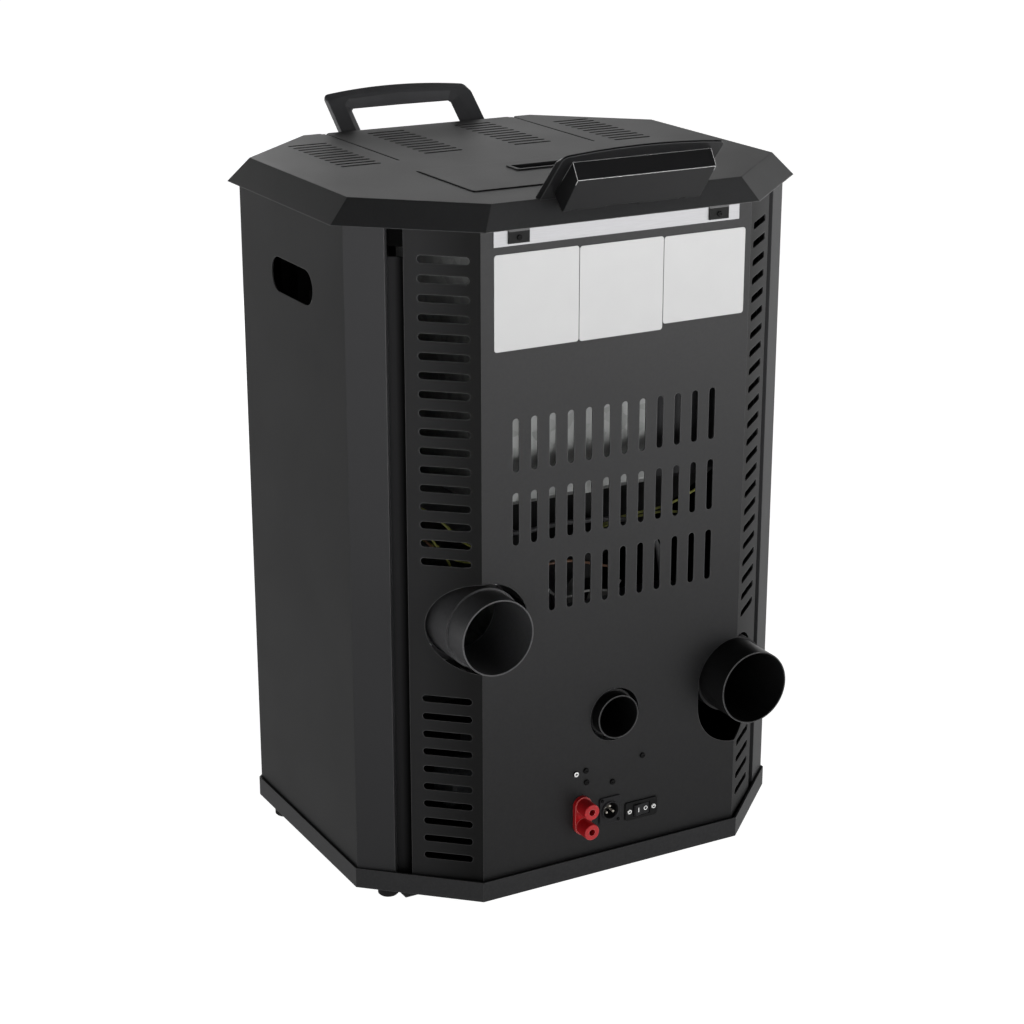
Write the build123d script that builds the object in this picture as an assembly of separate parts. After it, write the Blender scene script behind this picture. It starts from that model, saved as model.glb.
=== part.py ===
from build123d import *
import math
import os

# Pellet stove. X runs across the stove, the door faces -Y, the pipes leave towards +Y, +Z is up.
# The floor is z = 0 and the origin lies under the middle of the stove. Millimetres.

# Sheet metal
sheet = 1.5
plate = 2.0
firebox_wall = 3.0

# Heights of foot, tray, hood and panels
foot_height = 10.0
tray_height = 22.0
hood_height = 740.5
hood_skirt = 23.9
panel_gap_under_hood = 18.5
rim_height = hood_height - hood_skirt
panel_top_z = hood_height - panel_gap_under_hood
tray_floor_z = foot_height + plate

# Body octagon: half width, half depth, and what each cut corner takes off
body_half_width = 256.0
body_half_depth = 217.0
corner_width = 101.5
corner_depth = 90.5
wing_length = 76.3
flange_length = 41.2
return_depth = 9.0
face_half_width = body_half_width - corner_width
side_half_length = body_half_depth - corner_depth

# Base tray octagon stands proud of the body
tray_proud = 2.5
tray_slot_count = 5
tray_slot_pitch = 16.0
tray_slot_length = 150.0
tray_slot_width = 6.0
tray_slot_rear_gap = 57.0
foot_radius = 11.0
rear_foot = (body_half_width - 30.0, side_half_length + 11.5)
front_foot = (body_half_width - 11.0, 38.5 - side_half_length)

# Hood octagons, as what they add to or take off the body's four sizes
body_sizes = (body_half_width, side_half_length, face_half_width, body_half_depth)
hood_rim_overhangs = (13.0, 1.0, 1.0, 12.2)
hood_top_insets = (9.5, 7.5, 12.5, 1.8)
hood_wall = 2.0
hood_leg_half = (15.0, 8.0)
hood_top_half_depth = body_half_depth - hood_top_insets[3]
hood_under_z = hood_height - hood_wall

# Hopper lid and its hinge
lid_half_width = body_half_width - 127.0
lid_depth = 121.0
lid_rear_y = body_half_depth - 61.0
lid_front_y = lid_rear_y - lid_depth
lid_gap = 1.2
lid_thickness = 3.0
lid_proud = 1.0
lid_rim = 6.0
grip_half_width = 40.0
grip_front_y = lid_front_y + 22.0
grip_depth_y = 27.0
grip_frame = 4.0
lid_knuckle_radius = 3.4
lid_pin_radius = 1.5
lid_knuckle_length = 16.0
pin_clearance = 0.06
hinge_y = lid_rear_y + 1.0
hinge_z = hood_height + lid_proud

# Hood air slots and grooves: middle of the slots, distance from the front edge, pitch
vent_length = 45.5
vent_width = 5.0
vent_count = 11
outer_vents = (body_half_width - 93.0, 57.2 - hood_top_half_depth, 13.25)
inner_vents = (54.0, 25.2 - hood_top_half_depth, 13.7)
groove_x = lid_half_width - 11.5
groove_width = 2.5
groove_end_y = lid_front_y - 65.0
groove_notch = 9.0

# Handles at the front and rear edges of the hood
arch_half_width = 90.0
arch_height = 71.5
arch_crown = 7.5
arch_thickness = 7.0
arch_corner = 7.0
arch_sink = 13.0
arch_slope = 11.0
arch_opening_half = 72.0
arch_opening_far_half = 62.5
arch_opening_top = 45.0
arch_opening_crown = 3.0
arch_opening_far_top = 36.0
arch_opening_corner = 9.0
front_lean = 49.6
front_foot_point = (-body_half_depth - 12.0, hood_height - 2.0)
front_drop = 14.5
rear_lean = 43.7
rear_foot_point = (body_half_depth - 10.2, hood_height - 0.9)

# Control unit on the rear arch, measured along the arch's lean
unit_half_width = 77.4
unit_low = 14.0
unit_front_high = 64.0
unit_back_high = 59.0
unit_depth = 18.0
unit_low_depth = 22.0
unit_wall = 2.0
unit_bevel = 1.6
fascia_half_width = 64.0
fascia_low = 18.0
fascia_high = 52.0
fascia_thickness = 3.0
fascia_inset = 1.5
fascia_gap = 0.4
window_half_width = 27.0
window_x = -26.0
window_low = 25.0
window_high = 46.0
window_thickness = 1.0
button_radius = 5.2
button_gap = 0.35
button_length = 6.2
button_columns = (20.0, 44.0)
button_rows = (28.0, 43.0)
button_flange = 1.2
display_board_gap = 4.0

# Rear panel slots, and the bare sheet left above and below a group of wing slots
slot_width = 7.5
slot_length = 55.0
slot_pitch = 20.86
slot_first_x = 116.2
slot_column_count = 12
slot_rows = ((498.8, 0), (422.2, 0), (345.2, 2))
wing_slot_length = 52.0
wing_slot_edge = 11.0
wing_slot_top = panel_top_z - 35.5
wing_slot_pitch = 19.15
wing_slot_margin = 15.0
wing_low_slot_gap = 30.4
wing_low_slot_pitch = 19.6
wing_low_slot_margin = 8.0

# Pipes, each with a wider socket inside the cabinet that ends a little behind the rear panel
pipe_wall = 1.5
pipe_flange = 10.0
socket_wall = 2.5
socket_set_back = 6.0
duct_x = face_half_width - 4.3
duct_z = 310.9
duct_radius = 40.0
duct_stand = 25.3
duct_flange_y = body_half_depth - 54.0
duct_hole_radius = 48.5
flue_x = 3.3 - face_half_width
flue_z = 200.6
flue_radius = 40.0
flue_stand = 39.1
flue_hole_radius = 48.0
flue_hole_x = flue_x - 3.2
flue_hole_low_z = flue_z - 28.8
flue_hole_high_z = flue_z - 4.6
intake_x = -2.0
intake_z = 186.8
intake_radius = 24.0
intake_stand = 8.1
intake_hole_radius = 29.5
socket_end_y = body_half_depth - socket_set_back

# Hand hole in each side
hand_hole_length = 102.0
hand_hole_height = 36.7
hand_hole_y = 2.3
hand_hole_z = panel_top_z - 86.2

# Strip, fixing tabs and plates at the top of the rear panel: x ends, then low and high edge below the top
strip_thickness = 0.8
strip_x = (-139.0, 141.0)
strip_low = panel_top_z - 23.3
strip_high = panel_top_z - 3.0
tab_width = 23.0
tab_low = panel_top_z - 21.0
tab_thickness = 1.5
tab_bridge = 3.5
tab_x = groove_x - 3.5
label_thickness = 0.5
label_boxes = (
    (46.4, 140.4, 126.3, 31.0),
    (-50.4, 45.6, 126.6, 31.8),
    (-147.4, -51.2, 121.0, 32.6),
)
label_corner = 3.0

# Electrical group low on the rear panel
inlet_x = 2.5
inlet_z = 77.6
inlet_radius = 10.5
inlet_plate_width = 26.0
inlet_plate_height = 31.0
inlet_plate_thickness = 1.6
inlet_depth = 22.0
inlet_pin_radius = 1.2
inlet_pin_circle = 4.6
inlet_screw_offset = (10.0, 12.5)
switch_x = -36.5
switch_z = 70.0
switch_plate_width = 40.0
switch_plate_height = 21.0
switch_plate_thickness = 1.6
switch_screw_offset = 15.0
rocker_length = 20.0
rocker_height = 12.6
rocker_gap = 0.35
rocker_swing = 14.0
rocker_axle_depth = 2.5
rocker_axle_radius = 1.2
switch_body_half = rocker_length / 2 + 3.0
switch_body_rise = rocker_height / 2 + 2.2
switch_depth = 20.0
terminal_x = 37.5
terminal_z = 80.5
terminal_pitch = 23.0
terminal_radius = 10.0
terminal_flange = 5.0
terminal_length = 23.0
terminal_bore = 3.6
terminal_stem_radius = terminal_bore + 1.8
panel_screw_points = ((44.4, 128.4), (32.3, 129.7), (31.5, 116.2), (-0.5, 109.5), (-37.3, 132.0))
screw_radius = 3.2
screw_height = 1.8

# Door
door_half_width = face_half_width - 4.5
door_low = 250.0
door_high = panel_top_z - 142.0
door_thickness = 17.0
door_stand_off = 2.0
door_bevel = 5.0
door_middle_z = (door_low + door_high) / 2
door_back_y = -(body_half_depth + door_stand_off)
door_front_y = door_back_y - door_thickness
door_opening = (28.0 - door_half_width, door_half_width - 10.0, door_low + 14.0, door_high - 14.0)

# Firebox
rear_space = 239.0
firebox_half_width = face_half_width - 49.5
firebox_back_y = body_half_depth - rear_space
firebox_front_y = sheet - body_half_depth
firebox_low = 126.0
firebox_high = door_high - 6.0
firebox_flange = 12.0
firebox_floor_z = firebox_low + firebox_wall
hearth_z = door_low + 12.0
hearth_top_z = hearth_z + firebox_wall
fire_opening_half = firebox_half_width - 8.0
fire_opening_low = door_low + 40.0
fire_opening_high = door_high - 34.0
pot_half_width = 44.0
pot_half_depth = 38.0
pot_centre_y = firebox_back_y - pot_half_depth - 30.0
pot_rim = 7.0
pot_rim_thickness = 3.0
pot_drop = 48.0
pot_taper = 10.0
pot_wall = 3.0
pot_play = 0.5
pot_hole_radius = 2.2
pot_hole_pitch = (11.0, 12.0)
liner_thickness = 15.0
liner_high = firebox_high - 74.0
liner_rib_count = 5
baffle_thickness = 12.0
baffle_depth = 125.0
leg_foot = 14.0
leg_hole_radius = 26.0

# Window, seal, hinges and handle of the door
window_open_half = firebox_half_width - 17.0
window_open_low = door_low + 50.0
window_open_high = door_high - 45.0
window_bevel = 7.0
glass_lap = 10.0
glass_thickness = 4.0
glass_play = 1.0
rebate_depth = 7.0
clip_thickness = 0.6
clip_length = 16.0
clip_spacing = 64.0
seal_half_width = fire_opening_half + 9.0
seal_low = fire_opening_low - 9.0
seal_high = fire_opening_high + 8.0
seal_width = 8.8
seal_corner = 8.0
seal_groove_play = 0.2
seal_groove_depth = 6.0
seal_gap = 0.3
hinge_x = -door_half_width - 8.0
hinge_radius = 6.0
hinge_pin_radius = 3.0
hinge_knuckle = 26.0
hinge_ear = 10.0
hinge_ear_gap = 0.3
hinge_heights = (door_low + 45.0, door_high - 45.0)
handle_x = door_half_width - 23.0
handle_z = door_middle_z + 15.0
handle_shaft_radius = 5.0
handle_reach = 29.5
handle_length = 92.0
handle_grip_radius = 7.0
handle_boss_radius = 11.0
handle_tongue = 22.0
handle_tongue_gap = 3.0
handle_tongue_thickness = 5.0

# Ash drawer
drawer_half_width = firebox_half_width - 13.0
drawer_low_gap = 0.3
drawer_high = door_low - 42.0
drawer_rear_y = firebox_back_y - 20.0
drawer_wall = 1.5
drawer_front_half = drawer_half_width + 20.0
drawer_front_low = firebox_low - 4.0
drawer_front_high = door_low - 4.0
drawer_front_gap = 0.4
drawer_front_thickness = 8.0
drawer_opening = (-drawer_half_width - 8.0, drawer_half_width + 8.0, firebox_low + 2.5, door_low)
drawer_grip_half = 45.0
drawer_grip_reach = 16.0

# Front grille
grille_slot_count = 6
grille_slot_length = 210.0
grille_slot_width = 7.0
grille_low = panel_top_z - 110.0
grille_pitch = 15.0

# Auger in the plane x = 0, from its low end up to where the pellets drop
auger_low = (body_half_depth - 67.0, 285.0)
auger_angle = 52.0
auger_drop = 184.5
auger_length = auger_drop + 30.5
auger_tube_radius = 26.5
auger_tube_wall = 2.5
auger_cap = 3.0
auger_screw_radius = 22.5
auger_shaft_radius = 7.0
auger_pitch = 38.0
auger_flight = 2.5
auger_motor_size = 58.0
auger_motor_length = 44.0
auger_can_radius = 17.0
auger_can_length = 16.0
auger_end_plate = 5.0
auger_socket = 14.5
shaft_play = 0.08

# Hopper, its grille and its strap down to the motor
hopper_wall = 1.5
hopper_half_width = lid_half_width + 11.0
hopper_front_y = firebox_back_y + 27.0
hopper_rear_y = body_half_depth - 29.0
hopper_body_low = 430.0
hopper_body_high = panel_top_z - 7.0
hopper_neck_half = lid_half_width - 5.0
hopper_neck_front = lid_front_y + 4.0
hopper_neck_rear = lid_rear_y - 4.0
hopper_lip = 7.0
hopper_grille_drop = 12.0
hopper_grille_bar = 3.0
hopper_bar_count = 9
outlet_half_width = 22.0
outlet_front_y = auger_low[0] - 38.0
outlet_rear_y = auger_low[0] + 2.0
outlet_z = auger_low[1] + 53.0
outlet_drop = 62.0
strap_x = 15.0
strap_width = 13.0
strap_lap = 30.0
strap_bend_drop = 96.0

# Chute from the auger's drop down into the firebox
chute_half = 20.0
chute_angle = 45.0
chute_end_y = firebox_back_y - 26.0
chute_overlap = 17.4

# Smoke extractor
volute_x = (flue_x - flue_radius, flue_x + flue_radius)
volute_y = firebox_back_y + 57.0
volute_z = flue_z - 28.6
volute_radius = 68.0
volute_wall = 2.0
volute_outlet_y = volute_y + 75.0
impeller_radius = 52.0
impeller_width = 32.0
impeller_blade_count = 8
blower_shaft_radius = 4.0
blower_motor_radius = 33.0
blower_motor_length = 52.0
blower_motor_gap = 8.0
collector_half = 30.0
collector_riser_high = 335.0
collector_riser_depth = 30.0
collector_riser_width = 48.0
collector_x = 43.0 - firebox_half_width
inlet_eye_radius = 27.0

# Room air fan
fan_y = firebox_back_y + 117.0
fan_z = 88.0
fan_radius = 30.0
fan_room = (13.0, 15.0, 13.0, 14.0)
fan_case_half = firebox_half_width - 11.0
fan_half_length = fan_case_half - 6.0
fan_blade_count = 18
fan_motor_radius = 26.0
fan_motor_length = 44.0

# Air plenum behind the duct pipe
plenum_half = duct_radius + 8.0
plenum_front_y = firebox_back_y - 40.0

# Small inner parts
igniter_z = hearth_top_z - 27.0
igniter_radius = 5.0
igniter_sleeve_radius = 8.0
igniter_length = 55.0
wall_x = body_half_width - sheet
board_y = (firebox_back_y - 53.0, firebox_back_y + 92.0)
board_z = (330.0, 440.0)
board_stand_off = 10.0
board_thickness = 1.6
pressure_switch_y = firebox_back_y + 2.0
pressure_switch_z = 420.0
pressure_switch_radius = 24.0
wire_radius = 2.6

# Distance from the cabinet's middle back to the middle of the overall depth
frame_shift = 8.11

# Longer than anything it cuts
far = 1000.0

# Run and rise of the cut corner for each millimetre along it
chamfer_length = math.hypot(corner_width, corner_depth)
chamfer_x = corner_width / chamfer_length
chamfer_y = corner_depth / chamfer_length


def block(x0, x1, y0, y1, z0, z1):
    corner = (Align.MIN, Align.MIN, Align.MIN)
    return Pos(x0, y0, z0) * Box(x1 - x0, y1 - y0, z1 - z0, align=corner)


def rod(radius, start, end):
    axis = Vector(*end) - Vector(*start)
    seat = Plane(origin=start, z_dir=axis)
    return seat * Cylinder(radius, axis.length, align=(Align.CENTER, Align.CENTER, Align.MIN))


def pipe(radius, wall, start, end):
    return rod(radius, start, end) - rod(radius - wall, start, end)


def prism(points, low, high):
    return extrude(Pos(0, 0, low) * Polygon(*points, align=None), amount=high - low)


def side_profile(points, x0, x1):
    # Points are (y, z), and the profile runs along X.
    return extrude(Plane.YZ.offset(x0) * Polygon(*points, align=None), amount=x1 - x0)


def octagon(half_width, side_half, face_half, half_depth):
    right = [(half_width, -side_half), (half_width, side_half), (face_half, half_depth)]
    left = [(-face_half, half_depth), (-half_width, side_half), (-half_width, -side_half)]
    return right + left + [(-face_half, -half_depth), (face_half, -half_depth)]


def bent_sheet(points, wall, low, high):
    # The plan runs counter-clockwise round the body, so the wall grows inwards.
    inner = []
    for index, (x, y) in enumerate(points):
        normals = []
        for a, b in ((index - 1, index), (index, index + 1)):
            if a < 0 or b >= len(points):
                continue
            dx = points[b][0] - points[a][0]
            dy = points[b][1] - points[a][1]
            length = math.hypot(dx, dy)
            normals.append((-dy / length, dx / length))
        sum_x = sum(n[0] for n in normals)
        sum_y = sum(n[1] for n in normals)
        scale = 2 / (sum_x**2 + sum_y**2) if len(normals) == 2 else 1
        inner.append((x + sum_x * wall * scale, y + sum_y * wall * scale))
    return prism(list(points) + inner[::-1], low, high)


def mirror_x(shape):
    return mirror(shape, about=Plane.YZ)


def together(shapes):
    # Separate solids that share one node.
    return Compound(children=[solid for shape in shapes for solid in shape.solids()])


def corner_point(along, depth, side=1, end=1):
    # A point on the chamfered corner, from the side panel's edge, and inwards by depth.
    x = body_half_width - along * chamfer_x - depth * chamfer_y
    y = side_half_length + along * chamfer_y - depth * chamfer_x
    return (side * x, end * y)


parts = {}


# Base tray: an open octagonal pan with feet and cooling slots
def make_base_tray():
    proud_face = face_half_width + tray_proud
    outer = octagon(
        body_half_width + tray_proud,
        side_half_length + tray_proud / 2,
        proud_face,
        body_half_depth + tray_proud * 2,
    )
    inner = octagon(
        body_half_width + tray_proud - plate,
        side_half_length + tray_proud / 2 - plate / 2,
        proud_face - plate / 2,
        body_half_depth + tray_proud * 2 - plate,
    )
    tray = prism(outer, foot_height, foot_height + tray_height)
    tray = tray - prism(inner, tray_floor_z, foot_height + tray_height)
    for row in range(tray_slot_count):
        slot_y = body_half_depth - tray_slot_rear_gap - row * tray_slot_pitch
        slot = Pos(0, slot_y, foot_height) * SlotOverall(tray_slot_length, tray_slot_width)
        tray = tray - extrude(slot, amount=plate)
    return tray


def make_feet():
    feet = []
    for side in (-1, 1):
        for x, y in (rear_foot, front_foot):
            foot = rod(foot_radius, (side * x, y, 0), (side * x, y, foot_height))
            feet.append(chamfer(foot.edges().group_by(Axis.Z)[0], 1.5))
    return together(feet)


parts["base_tray"] = make_base_tray()
parts["rubber_feet"] = make_feet()


# Side panels with a hand hole and folded corner flanges
def make_side_panel():
    plan = [
        corner_point(flange_length, return_depth, 1, -1),
        corner_point(flange_length, 0, 1, -1),
        (body_half_width, -side_half_length),
        (body_half_width, side_half_length),
        corner_point(flange_length, 0),
        corner_point(flange_length, return_depth),
    ]
    panel = bent_sheet(plan, sheet, tray_floor_z, panel_top_z)
    hole = Plane.YZ * Pos(hand_hole_y, hand_hole_z) * SlotOverall(hand_hole_length, hand_hole_height)
    return panel - extrude(hole, amount=body_half_width + 1)


side_panel = make_side_panel()
parts["side_panel_right"] = side_panel
parts["side_panel_left"] = mirror_x(side_panel)


# Front and rear panels share one plan with folded wings
def panel_plan(end):
    wing_edge = chamfer_length - wing_length
    points = [
        corner_point(wing_edge, return_depth),
        corner_point(wing_edge, 0),
        (face_half_width, body_half_depth),
        (-face_half_width, body_half_depth),
        corner_point(wing_edge, 0, -1),
        corner_point(wing_edge, return_depth, -1),
    ]
    if end > 0:
        return points
    return [(-x, -y) for x, y in points]


def slot_heights(top, pitch, low):
    count = int((top - low) / pitch) + 1
    return [top - index * pitch for index in range(count)]


def wing_slot(side, z):
    middle = wing_slot_edge + wing_slot_length / 2
    x, y = corner_point(chamfer_length - middle, 0, side)
    along = (-side * chamfer_x, chamfer_y, 0)
    face = Plane(origin=(x, y, z), x_dir=along, z_dir=(side * chamfer_y, chamfer_x, 0))
    return extrude(face * SlotOverall(wing_slot_length, slot_width), amount=5, both=True)


def make_rear_panel():
    panel = bent_sheet(panel_plan(1), sheet, tray_floor_z, panel_top_z)
    rear = Plane(origin=(0, body_half_depth, 0), x_dir=(-1, 0, 0), z_dir=(0, 1, 0))
    holes = []
    for row_z, first in slot_rows:
        for column in range(first, slot_column_count):
            x = slot_first_x - column * slot_pitch
            upright = rear * Pos(-x, row_z) * Rot(0, 0, 90) * SlotOverall(slot_length, slot_width)
            holes.append(extrude(upright, amount=3, both=True))
    duct_top = duct_z + duct_hole_radius
    duct_bottom = duct_z - duct_hole_radius
    flue_top = flue_hole_high_z + flue_hole_radius
    flue_bottom = flue_hole_low_z - flue_hole_radius
    lowest = foot_height + tray_height + 2 * wing_low_slot_margin
    low_slots = slot_heights(duct_bottom - wing_low_slot_gap, wing_low_slot_pitch, lowest)
    for z in slot_heights(wing_slot_top, wing_slot_pitch, duct_top + wing_slot_margin) + low_slots:
        holes.append(wing_slot(1, z))
    for z in slot_heights(wing_slot_top, wing_slot_pitch, flue_top + wing_slot_margin):
        holes.append(wing_slot(-1, z))
    for z in low_slots:
        if z < flue_bottom - wing_low_slot_margin:
            holes.append(wing_slot(-1, z))
    deep_y = corner_point(chamfer_length - wing_length, 0)[1] - 8
    far_y = body_half_depth + 5
    for x, z, radius in (
        (duct_x, duct_z, duct_hole_radius),
        (flue_hole_x, flue_hole_low_z, flue_hole_radius),
        (flue_hole_x, flue_hole_high_z, flue_hole_radius),
        (intake_x, intake_z, intake_hole_radius),
        (inlet_x, inlet_z, inlet_radius),
        (terminal_x, terminal_z - terminal_pitch / 2, terminal_stem_radius + 0.2),
        (terminal_x, terminal_z + terminal_pitch / 2, terminal_stem_radius + 0.2),
    ):
        holes.append(rod(radius, (x, deep_y, z), (x, far_y, z)))
    flue_x0 = flue_hole_x - flue_hole_radius
    flue_x1 = flue_hole_x + flue_hole_radius
    holes.append(block(flue_x0, flue_x1, deep_y, far_y, flue_hole_low_z, flue_hole_high_z))
    switch_x0 = switch_x - switch_body_half
    switch_x1 = switch_x + switch_body_half
    switch_z0 = switch_z - switch_body_rise
    switch_z1 = switch_z + switch_body_rise
    holes.append(block(switch_x0, switch_x1, deep_y, far_y, switch_z0, switch_z1))
    return panel - holes


def make_front_panel():
    panel = bent_sheet(panel_plan(-1), sheet, tray_floor_z, panel_top_z)
    deep = -body_half_depth - 5
    near = -body_half_depth + 5
    x0, x1, z0, z1 = door_opening
    holes = [block(x0, x1, deep, near, z0, z1)]
    x0, x1, z0, z1 = drawer_opening
    holes.append(block(x0, x1, deep, near, z0, z1))
    front = Plane(origin=(0, -body_half_depth, 0), x_dir=(1, 0, 0), z_dir=(0, -1, 0))
    slot = SlotOverall(grille_slot_length, grille_slot_width)
    for index in range(grille_slot_count):
        place = front * Pos(0, grille_low + index * grille_pitch)
        holes.append(extrude(place * slot, amount=3, both=True))
    return panel - holes


parts["rear_panel"] = make_rear_panel()
parts["front_panel"] = make_front_panel()


# Corner posts: channels that close the gap between side flange and wing
def make_corner_posts():
    gap_end = chamfer_length - wing_length
    lap = 2.0
    leg = 8.0
    window_low = panel_top_z - 45
    window_high = panel_top_z - 18
    posts = []
    for side, end in ((1, 1), (-1, 1), (-1, -1), (1, -1)):
        plan = [
            corner_point(flange_length - lap, return_depth + leg, side, end),
            corner_point(flange_length - lap, return_depth, side, end),
            corner_point(gap_end + lap, return_depth, side, end),
            corner_point(gap_end + lap, return_depth + leg, side, end),
        ]
        if side * end < 0:
            plan = plan[::-1]
        post = bent_sheet(plan, sheet, tray_floor_z, panel_top_z)
        x, y = corner_point((flange_length + gap_end) / 2, return_depth, side, end)
        outward = (side * chamfer_y, end * chamfer_x, 0)
        gap_plane = Plane(origin=(x, y, (window_low + window_high) / 2), z_dir=outward)
        opening = gap_plane * Box(window_high - window_low, 10, 8)
        posts.append(post - opening)
    return together(posts)


parts["corner_posts"] = make_corner_posts()


# Top plate ties the panels together and carries hopper and hood
def make_top_plate():
    inset = 2 * sheet
    width, side_half, face_half, depth = body_sizes
    outline = octagon(width - inset, side_half - inset / 2, face_half - inset / 2, depth - inset / 2)
    top = prism(outline, panel_top_z, panel_top_z + plate)
    half = hopper_neck_half
    cut_z = (panel_top_z - 1, panel_top_z + plate + 1)
    top = top - block(-half, half, hopper_neck_front, hopper_neck_rear, *cut_z)
    for centre_x, first_y, pitch in (outer_vents, inner_vents):
        last_y = min(first_y + (vent_count - 1) * pitch, hopper_neck_front - hopper_lip - 6)
        half = vent_length / 2 + 1.25
        for side in (-1, 1):
            x = side * centre_x
            top = top - block(x - half, x + half, first_y - 4, last_y + 4, *cut_z)
    return top


parts["top_plate"] = make_top_plate()


# Hood: a shallow pressed cover with air slots, the lid opening and two rear tabs
def hood_solid(inset, low, high):
    faces = []
    for z in (low, high):
        share = (z - rim_height) / hood_skirt
        sizes = []
        for size, overhang, top_inset in zip(body_sizes, hood_rim_overhangs, hood_top_insets):
            sizes.append(size + overhang - (overhang + top_inset) * share)
        width, side_half, face_half, depth = sizes
        points = octagon(width - inset, side_half - inset / 2, face_half - inset / 2, depth - inset)
        faces.append(Pos(0, 0, z) * Polygon(*points, align=None))
    return loft(faces, ruled=True)


hood_envelope = hood_solid(0, rim_height, hood_height)


def make_hood():
    hood = hood_envelope - hood_solid(hood_wall + 0.8, rim_height, hood_under_z)
    cuts = []
    vent = SlotOverall(vent_length, vent_width)
    for centre_x, first_y, pitch in (outer_vents, inner_vents):
        for side in (-1, 1):
            for index in range(vent_count):
                place = Pos(side * centre_x, first_y + index * pitch, hood_under_z)
                cuts.append(extrude(place * vent, amount=hood_wall))
    for side in (-1, 1):
        x = side * groove_x
        edge_y = -hood_top_half_depth
        half = groove_width / 2
        notch = groove_notch / 2
        cuts.append(block(x - half, x + half, edge_y, groove_end_y, hood_under_z, hood_height))
        cuts.append(block(x - notch, x + notch, edge_y - 9, edge_y + 4, hood_under_z - 4, hood_height))
    half = lid_half_width + lid_gap
    cuts.append(block(-half, half, lid_front_y - lid_gap, lid_rear_y + lid_gap, hood_under_z, hood_height))
    knuckle_half = 2.5 * lid_knuckle_length + 0.5
    cuts.append(block(-knuckle_half, knuckle_half, lid_rear_y, hinge_y + 4, hood_under_z, hood_height))
    hood = hood - cuts
    leg_w, leg_d = hood_leg_half
    tab_y = body_half_depth + strip_thickness
    bridge_y = tab_y + tab_thickness + tab_bridge
    skirt_z = rim_height + 10.0
    for side in (-1, 1):
        leg_x = side * (lid_half_width - 33.0)
        for y in (102.0 - body_half_depth, body_half_depth - 32.0):
            leg = block(leg_x - leg_w, leg_x + leg_w, y - leg_d, y + leg_d, panel_top_z + plate, hood_under_z)
            hood = hood + leg
        x0 = side * tab_x - tab_width / 2
        x1 = side * tab_x + tab_width / 2
        hood = hood + block(x0, x1, tab_y, tab_y + tab_thickness, tab_low, skirt_z)
        hood = hood + block(x0, x1, tab_y, bridge_y, skirt_z - 3, skirt_z)
    return hood


parts["hood"] = make_hood()


# Hopper lid with its finger recess, hinged on a pin at the rear edge
def make_lid():
    low = hood_height + lid_proud - lid_thickness
    lid = block(-lid_half_width, lid_half_width, lid_front_y, lid_rear_y, low, low + lid_thickness)
    lid = fillet(lid.edges().filter_by(Axis.Z), 3)
    rim_low = low - lid_rim
    rim_out = lid_half_width - 8
    frame = block(-rim_out, rim_out, lid_front_y + 6, lid_rear_y - 10, rim_low, low)
    frame = frame - block(-rim_out + 2, rim_out - 2, lid_front_y + 8, lid_rear_y - 12, rim_low, low)
    lid = lid + frame
    grip_rear_y = grip_front_y + grip_depth_y
    top = low + lid_thickness
    raised = block(-grip_half_width, grip_half_width, grip_front_y, grip_rear_y, top, top + 1.2)
    raised = fillet(raised.edges().filter_by(Axis.Z), 2.5)
    cup = block(-grip_half_width, grip_half_width, grip_front_y, grip_rear_y, low - 9, low)
    lid = lid + raised + cup
    inner_half = grip_half_width - grip_frame
    inner_y = (grip_front_y + grip_frame, grip_rear_y - grip_frame)
    hollow = block(-inner_half, inner_half, *inner_y, low - 7.5, low + 10)
    lid = lid - hollow
    for place in (-1, 1):
        lid = lid + hinge_rod(lid_knuckle_radius, place, 0.15)
    lid = lid - hinge_rod(lid_pin_radius + pin_clearance, 0, -2.5 * lid_knuckle_length)
    for place in (-2, 0, 2):
        lid = lid - hinge_rod(lid_knuckle_radius + 0.4, place, -0.15)
    return lid


def hinge_rod(radius, place, end_gap):
    # A length of the lid's hinge line, counted in knuckles from the middle.
    middle = place * lid_knuckle_length
    half = lid_knuckle_length / 2 - end_gap
    return rod(radius, (middle - half, hinge_y, hinge_z), (middle + half, hinge_y, hinge_z))


def make_lid_hinge():
    end = 2.5 * lid_knuckle_length
    leaf = block(-end, end, hinge_y + 1.2, hinge_y + 16, hood_height, hood_height + 1.2)
    for place in (-2, 0, 2):
        leaf = leaf + hinge_rod(lid_knuckle_radius, place, 0)
    for place in (-1, 1):
        leaf = leaf - hinge_rod(lid_knuckle_radius + 0.4, place, 0)
    return leaf + hinge_rod(lid_pin_radius, 0, lid_knuckle_length / 2 - end)


parts["hopper_lid"] = make_lid()
parts["lid_hinge"] = make_lid_hinge()


# Leaning arches on the hood's edges
front_seat = Plane(
    origin=(0, front_foot_point[0], front_foot_point[1]),
    x_dir=(1, 0, 0),
    z_dir=(0, -math.cos(math.radians(front_lean)), -math.sin(math.radians(front_lean))),
)
rear_seat = Plane(
    origin=(0, rear_foot_point[0], rear_foot_point[1]),
    x_dir=(-1, 0, 0),
    z_dir=(0, math.cos(math.radians(rear_lean)), -math.sin(math.radians(rear_lean))),
)


def arch_outline(height, depth):
    legs = [(-arch_half_width, height), (-arch_half_width, -arch_sink), (arch_half_width, -arch_sink)]
    line = Polyline(*legs, (arch_half_width, height))
    crest = ThreePointArc((arch_half_width, height), (0, height + arch_crown), (-arch_half_width, height))
    face = make_face(line + crest)
    return Pos(0, 0, depth) * fillet(face.vertices().group_by(Axis.Y)[-1], arch_corner)


def arch_blank(height):
    slope_depth = arch_thickness * 2 / 3
    sloped = loft([arch_outline(height - arch_slope, 0), arch_outline(height, slope_depth)], ruled=True)
    return sloped + extrude(arch_outline(height, slope_depth), amount=arch_thickness - slope_depth)


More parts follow.
